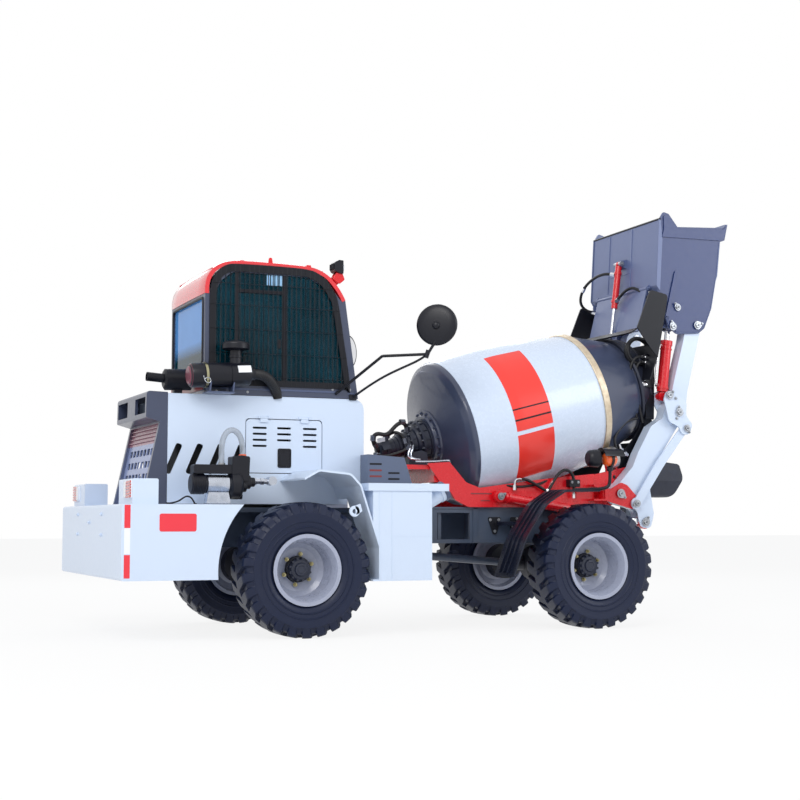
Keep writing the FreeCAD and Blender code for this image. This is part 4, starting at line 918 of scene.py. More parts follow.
def airCleaner(v):
    y, up = v["y"], (0, 0, 1)
    ahead = spot(-1517, y, 1914) - spot(-1977, y, 1886)
    axis = ahead / np.linalg.norm(ahead)
    start = spot(-1982, y, 1886)
    can = turned([(0, 0.0), (0, 0.055), (0.004, 0.078), (0.014, 0.086), (0.022, 0.089), (0.105, 0.089),
                  (0.107, 0.093), (0.112, 0.093), (0.114, 0.089), (0.30, 0.089), (0.302, 0.086),
                  (0.306, 0.086), (0.308, 0.089), (0.44, 0.089), (0.455, 0.082), (0.462, 0.05),
                  (0.470, 0.046), (0.495, 0.046), (0.495, 0.0)],
                 start, ahead, 56)
    grip = turned([(0, 0.010), (-0.004, 0.018), (0, 0.030), (0.012, 0.030)], start, ahead, 24)
    neck = turned([(0, 0.0), (0, 0.046), (0.11, 0.044), (0.112, 0.050), (0.124, 0.050), (0.126, 0.044),
                   (0.17, 0.044), (0.17, 0.0)], spot(v["capX"], y, v["neckZ"]), up, 32)
    cap = turned([(0, 0.0), (0, 0.058), (0.006, 0.066), (0.010, 0.095), (0.020, 0.098), (0.050, 0.098),
                  (0.062, 0.090), (0.070, 0.070), (0.074, 0.03), (0.074, 0.0)],
                 spot(v["capX"], y, v["capZ"]), up, 48)
    rib = turned([(0, 0.0955), (0.004, 0.1), (0.034, 0.1), (0.038, 0.0955)],
                 spot(v["capX"], y, v["capZ"] + 10), up, 48, loop=True)
    shelf = panel(-1850, -1640, y - 40, y + 150, 8, 1766, 1776, "z")
    saddle = [(y - 50, 1776), (y + 50, 1776), (y + 74, 1842), (y + 40, 1816, 30), (y - 40, 1816, 30),
              (y - 74, 1842)]
    saddles = [slab(saddle, x, x + 12, "x", 6) for x in (-1838, -1664)]
    piece("cleanerShelf", [shelf] + saddles, visorPaint, "engine_frame", bevel=0.002)
    cover = [(-0.006, 0.0), (-0.006, 0.060), (0.001, 0.066), (0.006, 0.0765), (0.012, 0.086), (0.012, 0.0)]
    cover = turned(cover, start, ahead, 48)
    piece("cleanerCover", cover, coverMaroon, "engine_frame")
    line = smoothLine(spot(v["hoseX"], y + np.array(v["hoseOut"]), v["hoseZ"]), 260)
    ribbed = tube(line, v["hose"] + v["rib"] * np.cos(np.linspace(0, 2 * np.pi * v["ribs"], 260)), 28)
    made = piece("cleanerCan", [can, neck, cap, rib, grip], blackPlastic, "engine_frame")
    piece("cleanerHose", ribbed, hoseRubber, "engine_frame")
    band = sleeve(start + axis * 0.112, ahead, 0, 0.018, 0.088, 0.0945, 56)
    piece("cleanerBand", band, clampZinc, "engine_frame")
    # blank label laid on the can's near side
    turn = np.radians(np.linspace(4, 40, 14))[None, :, None]
    length = np.linspace(0.352, 0.452, 4)[:, None, None]
    above = np.cross(axis, [0, 1, 0])
    above = above * (1 if above[2] > 0 else -1)
    ring = np.sin(turn) * above + np.cos(turn) * np.array([0, -1.0, 0])
    outer, inner = start + length * axis + 0.0903 * ring, start + length * axis + 0.088 * ring
    label = gridSurface(np.concatenate([outer, inner[:, ::-1]], 1), loopColumns=True)
    piece("blankLabel", label, tapeWhite, "engine_frame")
    clip = hose([-1896, -1884, -1852, -1836, -1852, -1880, -1888, -1876], y - 92,
                [1880, 1836, 1824, 1846, 1872, 1866, 1846, 1838], 0.0035, 48, 8)
    piece("cleanerClips", [clip, panel(-1880, -1846, 1838, 1850, 3, y - 62, y - 50)], zincPlate,
          "engine_frame")
    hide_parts("air_cleaner")


airCleaner(cleanerValues)
print("pump and air cleaner ready")

# pins with their keepers: (X, Z, distance from the middle, size, lean) by body
pinValues = {"drum_frame": ((1690, 1060, 549, 38, -40), (1834, 979, 565, 31, 200), (600, 1031, 513, 30, 30)),
             "arms": ((1940, 826, 527, 36, 60),),
             "cranks": ((2250, 1745, 585, 36, 100), (2322, 1612, 585, 31, -60)),
             "bucket_carrier": ((2470, 2497, 549, 36, 20),),
             "bucket_body": ((2225, 2475, 545, 34, 110), (2274, 2641, 545, 30, 130)),
             "tilt_cylinders": ((2154, 1886, 585, 34, 45),)}


def pinCap(x, z, y, radius, lean, tail=1.6):
    # cap of a pin: a drop-shaped keeper plate, a turned boss, a bolt and a grease nipple
    side = math.copysign(1.0, y)
    c, n = math.cos(math.radians(lean)), math.sin(math.radians(lean))
    turn = np.linspace(0, 2 * np.pi, 40, endpoint=False)
    swell = 1 + 0.5 * np.clip(np.cos(turn), 0, 1) ** 3 * (tail - 1)
    a, b = np.cos(turn) * radius * swell, np.sin(turn) * radius * (1 - 0.12 * np.clip(np.cos(turn), 0, 1))
    drop = np.stack([x + a * c - b * n, z + a * n + b * c], -1)
    out = (0, side, 0)
    boss = turned([(0, 0.0), (0, radius * 0.66e-3), (0.010, radius * 0.66e-3), (0.013, radius * 0.58e-3),
                   (0.013, radius * 0.30e-3), (0.010, radius * 0.26e-3), (0.010, 0.0)],
                  spot(x, y + side * 3, z), out, 28)
    reach = radius * tail * 0.78
    bolt = bolts(0.009, 0.009, spot(x + reach * c, y + side * 6, z + reach * n), out)
    nipple = turned([(0, 0.005), (0.012, 0.0045), (0.014, 0.003), (0.018, 0.003)], spot(x, y + side * 11, z),
                    out, 10)
    return [slab(drop, y, y + side * 6), boss, bolt, nipple]


for body, rows in pinValues.items():
    caps = []
    for x, z, y, radius, lean in rows:
        for side, _ in bothSides:
            caps += pinCap(x, z, side * y, radius, lean)
    piece("pins." + body, caps, zincPlate, body, smooth=30, bevel=0.0008, segments=1)

# cab
cabValues = {"side": -485, "dividers": (-1586, -1210), "frontPane": ((-615, 1768), (-723, 2532)),
             "barPitch": 37.0, "wire": 3.2, "rails": (1905, 2080, 2260, 2440, 2600),
             "doorOutline": ((-1716, 1960, 30), (-1716, 2490, 50), (-1672, 2576, 70), (-1600, 2636, 70),
                             (-1050, 2632, 70), (-942, 2580, 70), (-862, 2490, 50), (-778, 1960, 30))}
roofLine = through([(-1834, 2516), (-1832, 2580), (-1815, 2645), (-1772, 2706), (-1704, 2750), (-1620, 2771),
                    (-1500, 2777), (-1320, 2776), (-1140, 2772), (-1000, 2764), (-915, 2738), (-845, 2694),
                    (-780, 2622), (-742, 2564), (-722, 2526)], 110)
windowLine = rounded([(-1770, 1870, 30), (-1770, 2500, 60), (-1710, 2620, 90), (-1620, 2690, 90),
                      (-1030, 2686, 90), (-900, 2620, 90), (-812, 2500, 60), (-710, 1870, 30)], 8)
frameOuter = through([(-1796, 1842), (-1798, 2100), (-1799, 2400), (-1796, 2530), (-1780, 2620),
                      (-1740, 2688), (-1680, 2732), (-1600, 2749), (-1320, 2752), (-1040, 2744),
                      (-940, 2714), (-872, 2664), (-812, 2578), (-782, 2490), (-741, 2240), (-686, 1842),
                      (-760, 1838), (-1240, 1838), (-1720, 1838)], 152, closed=True)
frameInner = through([(-1764, 1874), (-1766, 2100), (-1766, 2400), (-1762, 2516), (-1742, 2604),
                      (-1704, 2662), (-1650, 2694), (-1590, 2704), (-1320, 2706), (-1056, 2700),
                      (-968, 2674), (-905, 2628), (-852, 2552), (-818, 2476), (-778, 2240), (-722, 1874),
                      (-780, 1872), (-1240, 1872), (-1700, 1872)], 152, closed=True)
frameInner = inset(frameInner, 12, True)


def crossing(line, x=None, z=None):
    # where an upright or level line meets a closed outline: the two outermost values
    p = np.asarray(line)
    q = np.roll(p, -1, 0)
    k, v = (0, x) if x is not None else (1, z)
    hit = (p[:, k] - v) * (q[:, k] - v) < 0
    p, q = p[hit], q[hit]
    found = p[:, 1 - k] + (q[:, 1 - k] - p[:, 1 - k]) * (v - p[:, k]) / (q[:, k] - p[:, k])
    return found.min(), found.max()


def cabRoof():
    # pressed roof: the side outline carried across with a slight crown, its edge lipped down over each side
    inner = inset(roofLine, 30)
    y = np.array([-488, -488, -476, -300, 0, 300, 476, 488, 488.0])
    lift = np.array([-3, 0, 3, 7, 9, 7, 3, 0, -3.0])
    underLift = np.array([0, 0, 0, 4, 6, 4, 0, 0, 0.0])
    normal = roofLine - inner
    normal /= np.linalg.norm(normal, axis=1, keepdims=True)
    top = roofLine[:, None] + normal[:, None] * lift[None, :, None]
    base = inner[:, None] + normal[:, None] * underLift[None, :, None]
    outer, under = (spot(q[..., 0], y[None], q[..., 1]) for q in (top, base))
    shell = gridSurface(np.concatenate([outer, under[:, ::-1]], 1), loopColumns=True)
    roof = piece("roofPressing", shell, roofPaint, "engine_frame", smooth=44)
    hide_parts("cab_roof")
    # lifting eyes with the small raised pads beside them, and seams across the roof
    extras = []
    for x, y in ((-1317, -450), (-1317, 450)):
        lug = [(x - 20, 2766), (x + 20, 2766), (x + 12, 2822, 11), (x - 12, 2822, 11)]
        extras += [slab(lug, y - 5, y + 5), rod(spot(x, y, 2806), (0, 1, 0), -0.0062, 0.0062, 0.009, 16)]
    extras += [slab([(x - 22, 2768), (x + 22, 2768), (x + 16, 2784, 4), (x - 16, 2784, 4)], y - 16, y + 16)
               for x in (-1543, -1015) for y in (-452, 452)]
    extras += [tube(spot(x, np.linspace(-470, 470, 12), z), 0.0045, 8)
               for x, z in ((-1775, 2712), (-905, 2741))]
    piece("roofEyes", extras, redPaint, "engine_frame", bevel=0.0015)


def cabGuard(v):
    # a flat frame that follows the window, thin welded wires across it, and six feet
    near = v["side"]
    parts = [ringBand(frameOuter, frameInner, near - 4, near - 10)]
    for x in np.arange(-1752, -700, v["barPitch"]):
        low, high = crossing(frameOuter, x=x)
        parts.append(tube(spot([x, x], near - 8.5, [low + 6, high - 6]), v["wire"] / 1000, 6))
    for z in v["rails"]:
        low, high = crossing(frameOuter, z=z)
        parts.append(tube(spot([low + 6, high - 6], near - 11.5, [z, z]), v["wire"] / 1200, 6))
    parts += [turned([(0, 0.009), (0.012, 0.009)], spot(x, near + 1, z), (0, -1, 0), 12)
              for x, z in ((-1781, 2050), (-1781, 2400), (-1300, 2728), (-1560, 1855), (-950, 1855),
                           (-735, 2150))]
    guard = piece("guardMesh", parts, blackPaint, "engine_frame")
    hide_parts("window_guard")


def paneSeal(name, x, half, low, high, radius):
    # rubber round a pane that faces along the vehicle; x(z) is where the pane stands
    q = rounded(box(-half, half, low, high, 30), 6)
    piece(name, tube(spot(x(q[:, 1]), q[:, 0], q[:, 1]), radius, 10, closed=True), hoseRubber, "engine_frame")


def cabTrim(v):
    near = v["side"]
    surround = ringBand(frameOuter, frameInner, near - 2.5, near + 6)
    piece("windowSurround", surround, blackPlastic, "engine_frame")
    for x in v["dividers"]:
        low, high = crossing(windowLine, x=x)
        piece("windowPost.%d" % -x, panel(x - 13, x + 13, low, high, 3, near + 2, near + 30), blackPlastic,
              "engine_frame", bevel=0.003)
    x0, x1 = v["dividers"]
    header = [(-1745, 2566, 4), (x1, 2566, 4), (x1, 2700, 4), (-1640, 2700, 50), (-1745, 2620, 40)]
    post = [(-1764, 1880, 4), (x0, 1880, 4), (x0, 2600, 4), (-1740, 2600, 30), (-1764, 2540, 30)]
    parts = [panel(x0, x1, 2540, 2566, 4, near + 3, near + 26),
             panel(x1 - 52, x1 - 30, 2130, 2200, 8, near + 2, near + 14),
             slab(header, near + 24, near + 28), slab(post, near + 34, near + 37)]
    piece("windowRail", parts, blackPlastic, "engine_frame", bevel=0.003)
    slots = [panel(-1352 + 34 * k, -1326 + 34 * k, 2606, 2686, 3, near + 11, near + 22) for k in range(4)]
    piece("airVent", slots, ventBlue, "engine_frame", bevel=0.002)
    # sill with its pressed ridge, screws, and the front corner's seam
    ridge = slab([(-1790, 1806, 4), (-808, 1806, 4), (-796, 1822, 4), (-1790, 1822, 4)], near - 5, near + 2)
    corner = slab([(-700, 1800), (-640, 1800), (-650, 1815), (-705, 1815)], near - 3, near + 2)
    # the ridge, and the corner strip with it, take the paler visor slate instead of the cab's slate; on the
    # ridge this is a painted highlight
    piece("sillRidge", [ridge, corner], visorPaint, "engine_frame", bevel=0.003)
    places = spot([-824, -683, -1500, -1740], near, [1834, 1836, 1792, 1792])
    piece("sillScrews", bolts(0.008, 0.008, places, (0, -1, 0)), zincPlate, "engine_frame", smooth=30)
    paneSeal("paneSeal.rear", lambda z: -1834, 432, 1998, 2492, 0.008)
    (x0, z0), (x1, z1) = v["frontPane"]
    paneSeal("paneSeal.front", lambda z: x0 + (z - z0) * (x1 - x0) / (z1 - z0), 420, 1880, 2480, 0.013)
    rear = panel(-465, 465, 1800, 1978, 12, -1839, -1831, "x")
    piece("rearPanel", rear, deepRed, "engine_frame", bevel=0.004)
    hammer = [panel(-1616, -1602, 2236, 2357, 6, near + 38, near + 52),
              panel(-1628, -1590, 2330, 2350, 4, near + 38, near + 50)]
    piece("hammer", hammer, lampRed, "engine_frame", bevel=0.003)
    # instrument pod on the steering column, seen through the glass
    pod = slab([(-118, 1960, 20), (-70, 1905, 10), (70, 1905, 10), (118, 1960, 20), (118, 2110, 60),
                (60, 2172, 50), (-60, 2172, 50), (-118, 2110, 60)], -862, -742, "x", 6)
    shade = slab([(-128, 2100, 20), (128, 2100, 20), (96, 2186, 60), (-96, 2186, 60)], -886, -730, "x", 6)
    piece("instrumentPod", [pod, shade], seatVinyl, "engine_frame", bevel=0.01, segments=3)


def cabDoor(v):
    q = rounded(v["doorOutline"], 8)
    piece("doorSeal", tube(spot(q[:, 0], 480, q[:, 1]), 0.010, 10, closed=True), hoseRubber, "door")
    handle = hose(-800, [484, 512, 516, 512, 484], [1868, 1872, 1905, 1938, 1942], 0.009, 30)
    piece("doorHandle", [handle, panel(-822, -778, 1842, 1968, 12, 482, 489)], blackPlastic, "door",
          bevel=0.003)


cabRoof()
cabGuard(cabValues)
cabTrim(cabValues)
cabDoor(cabValues)
print("cab ready")

# lamps
turnLampValues = {"x": 1400, "y": 850, "z": 1324, "hoodAlong": (-86, -40, 40, 96),
                  "hoodReach": (86, 80, 78, 82), "hoodSheet": 5}
workLampValues = {"y": 380, "fins": (-36, -24, -12, 0, 12, 24, 36), "yoke": (-34, 34)}


def turnLamps(v):
    # two domed lenses back to back in a black ring, a hood over them and a body beside them, on a bent arm
    x, z = v["x"], v["z"]
    dome = [(0, 0.0), (0.001, 0.020), (0.006, 0.038), (0.016, 0.050), (0.030, 0.056), (0.052, 0.057),
            (0.052, 0.0)]
    for side, tag in bothSides:
        y = side * v["y"]
        lens = [turned(dome, spot(x + way * 58, y, z), (-way, 0, 0), 48) for way in (-1, 1)]
        piece("lampLens." + tag, lens, lampOrange, "drum_frame", smooth=60)
        ring = turned([(-0.009, 0.055), (-0.011, 0.066), (0.011, 0.066), (0.009, 0.055)], spot(x, y, z),
                      (1, 0, 0), 48, loop=True)
        # hood: an arc of sheet above the lenses that reaches back to the lamp body
        a = np.radians(np.linspace(12, 168, 22))
        along, r = np.array(v["hoodAlong"])[:, None], np.array(v["hoodReach"])[:, None]
        outer, inner = (spot(x + along + 0 * a, y - side * np.cos(a) * reach, z + 6 + np.sin(a) * reach)
                        for reach in (r, r - v["hoodSheet"]))
        hood = gridSurface(np.concatenate([outer, inner[:, ::-1]], 1), loopColumns=True)
        body = turned([(0, 0.0), (0, 0.046), (0.010, 0.060), (0.030, 0.068), (0.090, 0.072), (0.098, 0.066),
                       (0.098, 0.0)], spot(x - 186, y - side * 34, z + 8), (1, 0.1 * side, 0), 40)
        arm = hose([x + 2, x + 2, x, x - 14, x - 90, x - 190, x - 262],
                   y - side * np.array([0, 0, 0, 8, 40, 70, 96]), [z - 60, z - 120, z - 190, z - 226,
                                                                   z - 238, z - 240, z - 242], 0.0135, 44, 14)
        clamp = sleeve(spot(x + 2, y, z - 78), (0, 0, 1), -0.016, 0.016, 0.018, 0.024, 24)
        piece("lampBody." + tag, [ring, hood, body, arm, clamp], blackPlastic, "drum_frame", bevel=0.0012)
    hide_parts("turn_lamps")


def workLamps(v):
    for side, tag in bothSides:
        y = side * v["y"]
        body = [slab([(-790, 2764, 24), (-752, 2748, 14), (-716, 2742, 6), (-716, 2848, 6), (-752, 2850, 16),
                      (-790, 2830, 24)], y - 52, y + 52, arcSteps=6)]
        body += [panel(-800, -786, 2776, 2822, 4, y + k - 2.5, y + k + 2.5) for k in v["fins"]]
        piece("workLamp." + tag, body, blackPlastic, "engine_frame", bevel=0.006, segments=3)
        lens = turned([(0, 0.0), (0, 0.047), (0.006, 0.047), (0.010, 0.043), (0.014, 0.030), (0.016, 0.0)],
                      spot(-717, y, 2795), (1, 0, 0), 40)
        piece("workLens." + tag, lens, lampClear, "engine_frame")
        arm = [(-800, 2700, 6), (-742, 2664, 6), (-700, 2700, 10), (-718, 2748, 10), (-770, 2752, 10)]
        yoke = [slab(arm, y + k - 3, y + k + 3) for k in v["yoke"]]
        yoke.append(panel(-798, -716, 2712, 2720, 3, y - 36, y + 36))
        piece("lampYoke." + tag, yoke, redPaint, "engine_frame", bevel=0.002)
    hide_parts("work_lamps")


turnLamps(turnLampValues)
workLamps(workLampValues)
print("lamps ready")

# hood, valve cover and tank details; slots are (X from, X to, Z)
hoodValues = {"face": -480, "coverFace": (-651.2, -640), "tankFace": 1030, "lugY": 1012,
              "slots": ((-585, -485, 1265), (-433, -338, 1198), (-433, -338, 1153)),
              "redSlots": ((-585, -485, 1217), (-585, -485, 1172))}


def longHoles(rows, low, high, tall=7):
    # level slots with nearly round ends
    return [panel(x0, x1, z - tall, z + tall, tall - 1, low, high) for x0, x1, z in rows]


def hoodTrim(v):
    face = v["face"]
    frameOut = rounded(box(-1260, -1153, 1231, 1376, 14))
    frameIn = rounded(box(-1250, -1163, 1241, 1366, 8))
    latch = [ringBand(frameOut, frameIn, face - 5, face),
             panel(-1244, -1169, 1247, 1336, 6, face - 4, face + 1),
             slab(frameIn, face - 1.5, face + 1),
             rod(spot(-1206, face - 1, 1352), (0, -1, 0), 0, 0.004, 0.010, 20)]
    piece("hatchLatch", latch, blackPlastic, "hatch", bevel=0.001)
    # fold along the hood's side, just below its top edge
    piece("hoodFold", panel(-2096, -640, 1757, 1761, 0, face - 1.5, face + 1), whitePaint, "engine_frame")
    # the slots are not cut in the cover: thin dark slabs laid on it stand for the openings, a painted shade,
    # black above and deep red lower down
    piece("coverSlots", longHoles(v["slots"], *v["coverFace"]), blackPaint, "engine_frame")
    piece("coverSlotsLow", longHoles(v["redSlots"], *v["coverFace"]), deepRed, "engine_frame")
    for side, tag in bothSides:
        low, high = sorted((side * v["tankFace"], side * (v["tankFace"] + 2.0)))
        seams = [panel(x, x + 6, 404, 1052, 0, low, high) for x in (-664, -563)]
        seams.append(panel(-557, -244, 722, 728, 0, low, high))
        piece("tankSeams." + tag, seams, whitePaint, "engine_frame")
    neck = spot(-84, -860, 1050), (196, 0, 109)
    cap = [turned([(0, 0.0), (0, 0.074), (0.006, 0.078), (0.030, 0.078), (0.036, 0.070), (0.036, 0.0)],
                  *neck, 40),
           turned([(0.030, 0.010), (0.052, 0.010), (0.054, 0.006), (0.054, 0.0), (0.030, 0.0)], *neck, 20)]
    piece("fillerCap", cap, visorPaint, "engine_frame", bevel=0.002)
    # lashing lug with its hole on the fender's inner end
    for side, tag in bothSides:
        y = side * v["lugY"]
        lug = [sleeve(spot(-850, y, 905), (0, 1, 0), -0.008, 0.008, 0.017, 0.040, 36),
               slab([(-838, 875), (-790, 905), (-806, 960), (-848, 944)], y - 8, y + 8)]
        piece("lashingLug." + tag, lug, whitePaint, "engine_frame", bevel=0.002)


hoodTrim(hoodValues)
print("hood and tank details ready")

# gearbox and motor that turn the drum; profiles are (station, radius) in metres from the drum's middle,
# bolt rings (size, height, station, angles, radius) and hoses (X, Y, Z, radius, points along it, sides)
driveValues = {
    "gear": ((-0.583, 0.0), (-0.583, 0.174), (-0.622, 0.174), (-0.626, 0.160), (-0.650, 0.150),
             (-0.654, 0.166), (-0.670, 0.166), (-0.674, 0.150), (-0.716, 0.146), (-0.720, 0.172),
             (-0.742, 0.172), (-0.746, 0.140), (-0.768, 0.128), (-0.774, 0.112), (-0.800, 0.110),
             (-0.804, 0.121), (-0.822, 0.121), (-0.826, 0.104), (-0.868, 0.100), (-0.872, 0.108),
             (-0.890, 0.108), (-0.892, 0.0)),
    "motor": ((-0.886, 0.0), (-0.886, 0.086), (-0.905, 0.088), (-0.918, 0.088), (-0.922, 0.078),
              (-0.952, 0.078), (-0.954, 0.074), (-1.006, 0.074), (-1.010, 0.084), (-1.030, 0.084),
              (-1.034, 0.074), (-1.080, 0.070), (-1.088, 0.060), (-1.088, 0.0)),
    "boltRings": ((0.010, 0.013, -742, np.arange(0, 360, 22.5), 158),
                  (0.008, 0.010, -822, np.arange(10, 370, 30), 112),
                  (0.008, 0.010, -1030, np.arange(45, 405, 90), 76)),
    "hoses": (((-318, -352, -350, -312, -262, -216, -161, -104, -58, -40),
               (-110, -140, -150, -160, -160, -158, -152, -146, -130, -112),
               (1436, 1470, 1512, 1532, 1516, 1530, 1596, 1630, 1606, 1556), 0.0165, 70),
              ((-300, -330, -318, -260, -180, -110, -70), (-60, -130, -176, -196, -206, -220, -236),
               (1372, 1368, 1344, 1346, 1366, 1392, 1424), 0.013, 60),
              ((-216, -190, -150, -110, -84), (-84, -120, -150, -170, -176), (1500, 1536, 1548, 1520, 1470),
               0.012, 50)),
    "fittings": (((-350, -146, 1492), (0, -0.2, 1)), ((-44, -118, 1572), (0.2, 0.3, -1)),
                 ((-318, -112, 1440), (-0.6, -0.5, 0.6)), ((-322, -160, 1352), (0.2, -1, -0.3)),
                 ((-76, -232, 1416), (0.5, -0.3, 0.7)), ((-100, -150, 1628), (1, 0.1, 0)),
                 ((-212, -88, 1504), (0.5, -0.6, 0.7)), ((-86, -176, 1476), (0.3, 0, -1))),
    "pipeX": (-66, -76, -96, -92, -66, -30), "pipeY": (-236, -250, -254, -256, -262, -300),
    "pipeZ": (1436, 1408, 1368, 1340, 1326, 1320), "pipePitch": (0, 24),
    "edgePipe": ((-107, -60, 60, 150, 182, 196), (-436, -440, -440, -440, -440, -428),
                 (1300, 1300, 1302, 1313, 1311, 1296), 0.007, 50, 10)}


def alongDrum(profile, sides=64, loop=False):
    # (station, radius) in metres spun about the drum's axis
    return turned(profile, drumPoint(0, 0, 0), drumAhead, sides, loop)


def drumFin(s0, s1, outer, inner, angle, thick):
    # flat rib standing out from the drum's axis between two stations
    s, r = np.array([s0, s0, s1, s1], float), np.array([inner, outer, outer, inner], float)
    half = np.degrees(thick / 2 / r)
    return gridSurface(np.stack([drumPoint(s, angle - half, r), drumPoint(s, angle + half, r)]),
                       loopColumns=True)


def driveTrim(v):
    fins = [drumFin(-628, -716, 158, 120, a, 9) for a in range(0, 360, 30)]
    fins += [drumFin(-776, -800, 118, 90, a, 8) for a in range(15, 360, 45)]
    rings = [bolts(size, height, drumPoint(station, angles, radius), -drumAhead)
             for size, height, station, angles, radius in v["boltRings"]]
    ports = [drumPoint(np.full(4, s), np.array([-50, -90, -90, -50]), np.array([60, 60, 118, 118]))
             for s in (-1078, -1010)]
    foot = [(-58, 1276), (118, 1276), (104, 1384, 20), (60, 1400, 20), (-20, 1384, 20), (-44, 1330, 20)]
    cross = [(-150, 1292), (150, 1292), (150, 1330, 20), (120, 1366, 60), (-120, 1366, 60), (-150, 1330, 20)]
    stand = [slab(foot, y, y + 22) for y in (-186, 164)] + [panel(-60, 120, 1275, 1292, 0, -190, 190),
                                                            slab(cross, 6, 24, "x", 6)]
    gearbox = piece("driveGearbox", [alongDrum(v["gear"])] + fins, castIron, "drum_frame", smooth=30,
                    bevel=0.0015)
    piece("driveStand", stand, castIron, "drum_frame", bevel=0.002)
    motor = [alongDrum(v["motor"], 40), gridSurface(np.stack(ports), loopColumns=True)]
    piece("driveMotor", motor, castIron, "drum_frame", smooth=30, bevel=0.002)
    piece("driveBolts", rings, zincDull, "drum_frame", smooth=30)
    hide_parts("drum_drive")
    cap = turned([(0, 0.0), (0, 0.030), (0.020, 0.030), (0.024, 0.022), (0.024, 0.0)],
                 drumPoint(-1088, -60, 30), -drumAhead, 24)
    piece("motorCap", cap, blackPlastic, "drum_frame")
    tag = slab([(-294, 1456, 3), (-228, 1472, 3), (-232, 1506, 3), (-298, 1490, 3)], -104, -100)
    piece("motorTag", tag, plateWhite, "drum_frame", bevel=0.0005)
    piece("driveHoses", [hose(*row) for row in v["hoses"]], hoseRubber, "drum_frame")
    pipes = [hose(np.array(v["pipeX"]) + d, v["pipeY"], v["pipeZ"], 0.0075, 40, 10) for d in v["pipePitch"]]
    piece("drivePipes", pipes, pipeSteel, "drum_frame", smooth=30)
    fittings = [sleeve(spot(*place), way, -0.022, 0.022, 0.019, 0.023) for place, way in v["fittings"]]
    piece("driveFittings", fittings, zincDull, "drum_frame", smooth=30)
    piece("edgePipe", hose(*v["edgePipe"]), pipeSteel, "drum_frame")


driveTrim(driveValues)
print("drum drive ready")

# front chassis, cradle and mudguard brackets; a panel is (X from, X to, Z from, Z to, corner, Y from, Y to)
cradleValues = {
    "panels": ((590, 905, 800, 826, 6, -424, -412), (724, 878, 776, 866, 10, -436, -424),
               (700, 760, 796, 832, 6, -700, -424)),
    "strips": ((404, 446, 664, 942, 0, -408, -399), (14, 1360, 930, 946, 0, -408, -399),
               (404, 1390, 664, 676, 0, -404, -399)),
    "grooves": ((368, 556, 1047, 1057, 4, -439.6, -430), (455, 540, 992, 1001, 4, -439.6, -430)),
    # fittings: place, way, half length, inner and outer radius in metres, sides
    "fittings": (((752, -454, 1102), (0, 0, 1), 0.02, 0.015, 0.019, 6),
                 ((1036, -472, 1070), (-0.5, 0, -0.87), 0.022, 0.013, 0.018, 6),
                 ((1068, -474, 1112), (0.5, 0, 0.87), 0.05, 0.010, 0.014, 10),
                 ((1284, -480, 1050), (0, 0, 1), 0.03, 0.014, 0.019, 6)),
    "elbow": ((752, 752, 756, 790, 812), (-452, -458, -462, -466, -468),
              (1092, 1140, 1166, 1174, 1168), 0.012, 30),
    "hoses": (((806, 860, 930, 1000, 1040, 1046), (-468, -472, -474, -474, -472, -472),
               (1170, 1168, 1130, 1094, 1072, 1060), 0.012),
              ((1040, 1080, 1140, 1210, 1272, 1290, 1286, 1284), -478,
               (1066, 1132, 1220, 1262, 1226, 1160, 1100, 1050), 0.0125, 60),
              ((690, 760, 840, 930, 1010, 1090), (-430, -442, -446, -446, -442, -420),
               (1120, 1108, 1112, 1122, 1140, 1176), 0.010))}


def cradleTrim(v):
    facing, turnedEdge = (0, -1, 0), {"smooth": 30}
    bracket = [slab([(532, 866, 14), (652, 866, 14), (612, 728, 16), (578, 728, 16)], -412, -401)]
    bracket += [panel(*row) for row in v["panels"]]
    heads = [bolts(0.010, 0.011, spot([554, 629, 594], -412, [844, 844, 754]), facing),
             bolts(0.010, 0.011, spot([743, 813, 782, 858], -436, [790, 790, 852, 852]), facing)]
    # upright edge, top and bottom strips on the chassis plate, and grooves pressed in the cradle beam
    # the grooves are not cut: thin deep red slabs on the beam give them a painted shade
    strips, grooves = ([panel(*row) for row in v[key]] for key in ("strips", "grooves"))
    # hard fittings and hoses above the lift cylinder
    fittings = [sleeve(spot(*place), way, -half, half, inner, outer, sides)
                for place, way, half, inner, outer, sides in v["fittings"]]
    block = [panel(1236, 1334, 1112, 1172, 6, -500, -436)]
    blockHeads = [bolts(0.009, 0.009, spot([1256, 1314], -500, [1150, 1150]), facing)]
    pairs("drum_frame", ("guardBracket", bracket, blackPaint, {"bevel": 0.002}),
          ("guardBolts", heads, zincPlate, turnedEdge),
          ("chassisStrips", strips, chassisPaint, {"bevel": 0.002}),
          ("cradleGrooves", grooves, deepRed, {"bevel": 0.001}),
          ("cradleFittings", [hose(*v["elbow"])] + fittings, chromeRod, turnedEdge),
          ("cradleHoses", [hose(*row) for row in v["hoses"]], hoseRubber, {}),
          ("hoseBlock", block, blackPaint, {"bevel": 0.003}),
          ("blockBolts", blockHeads, zincPlate, turnedEdge))


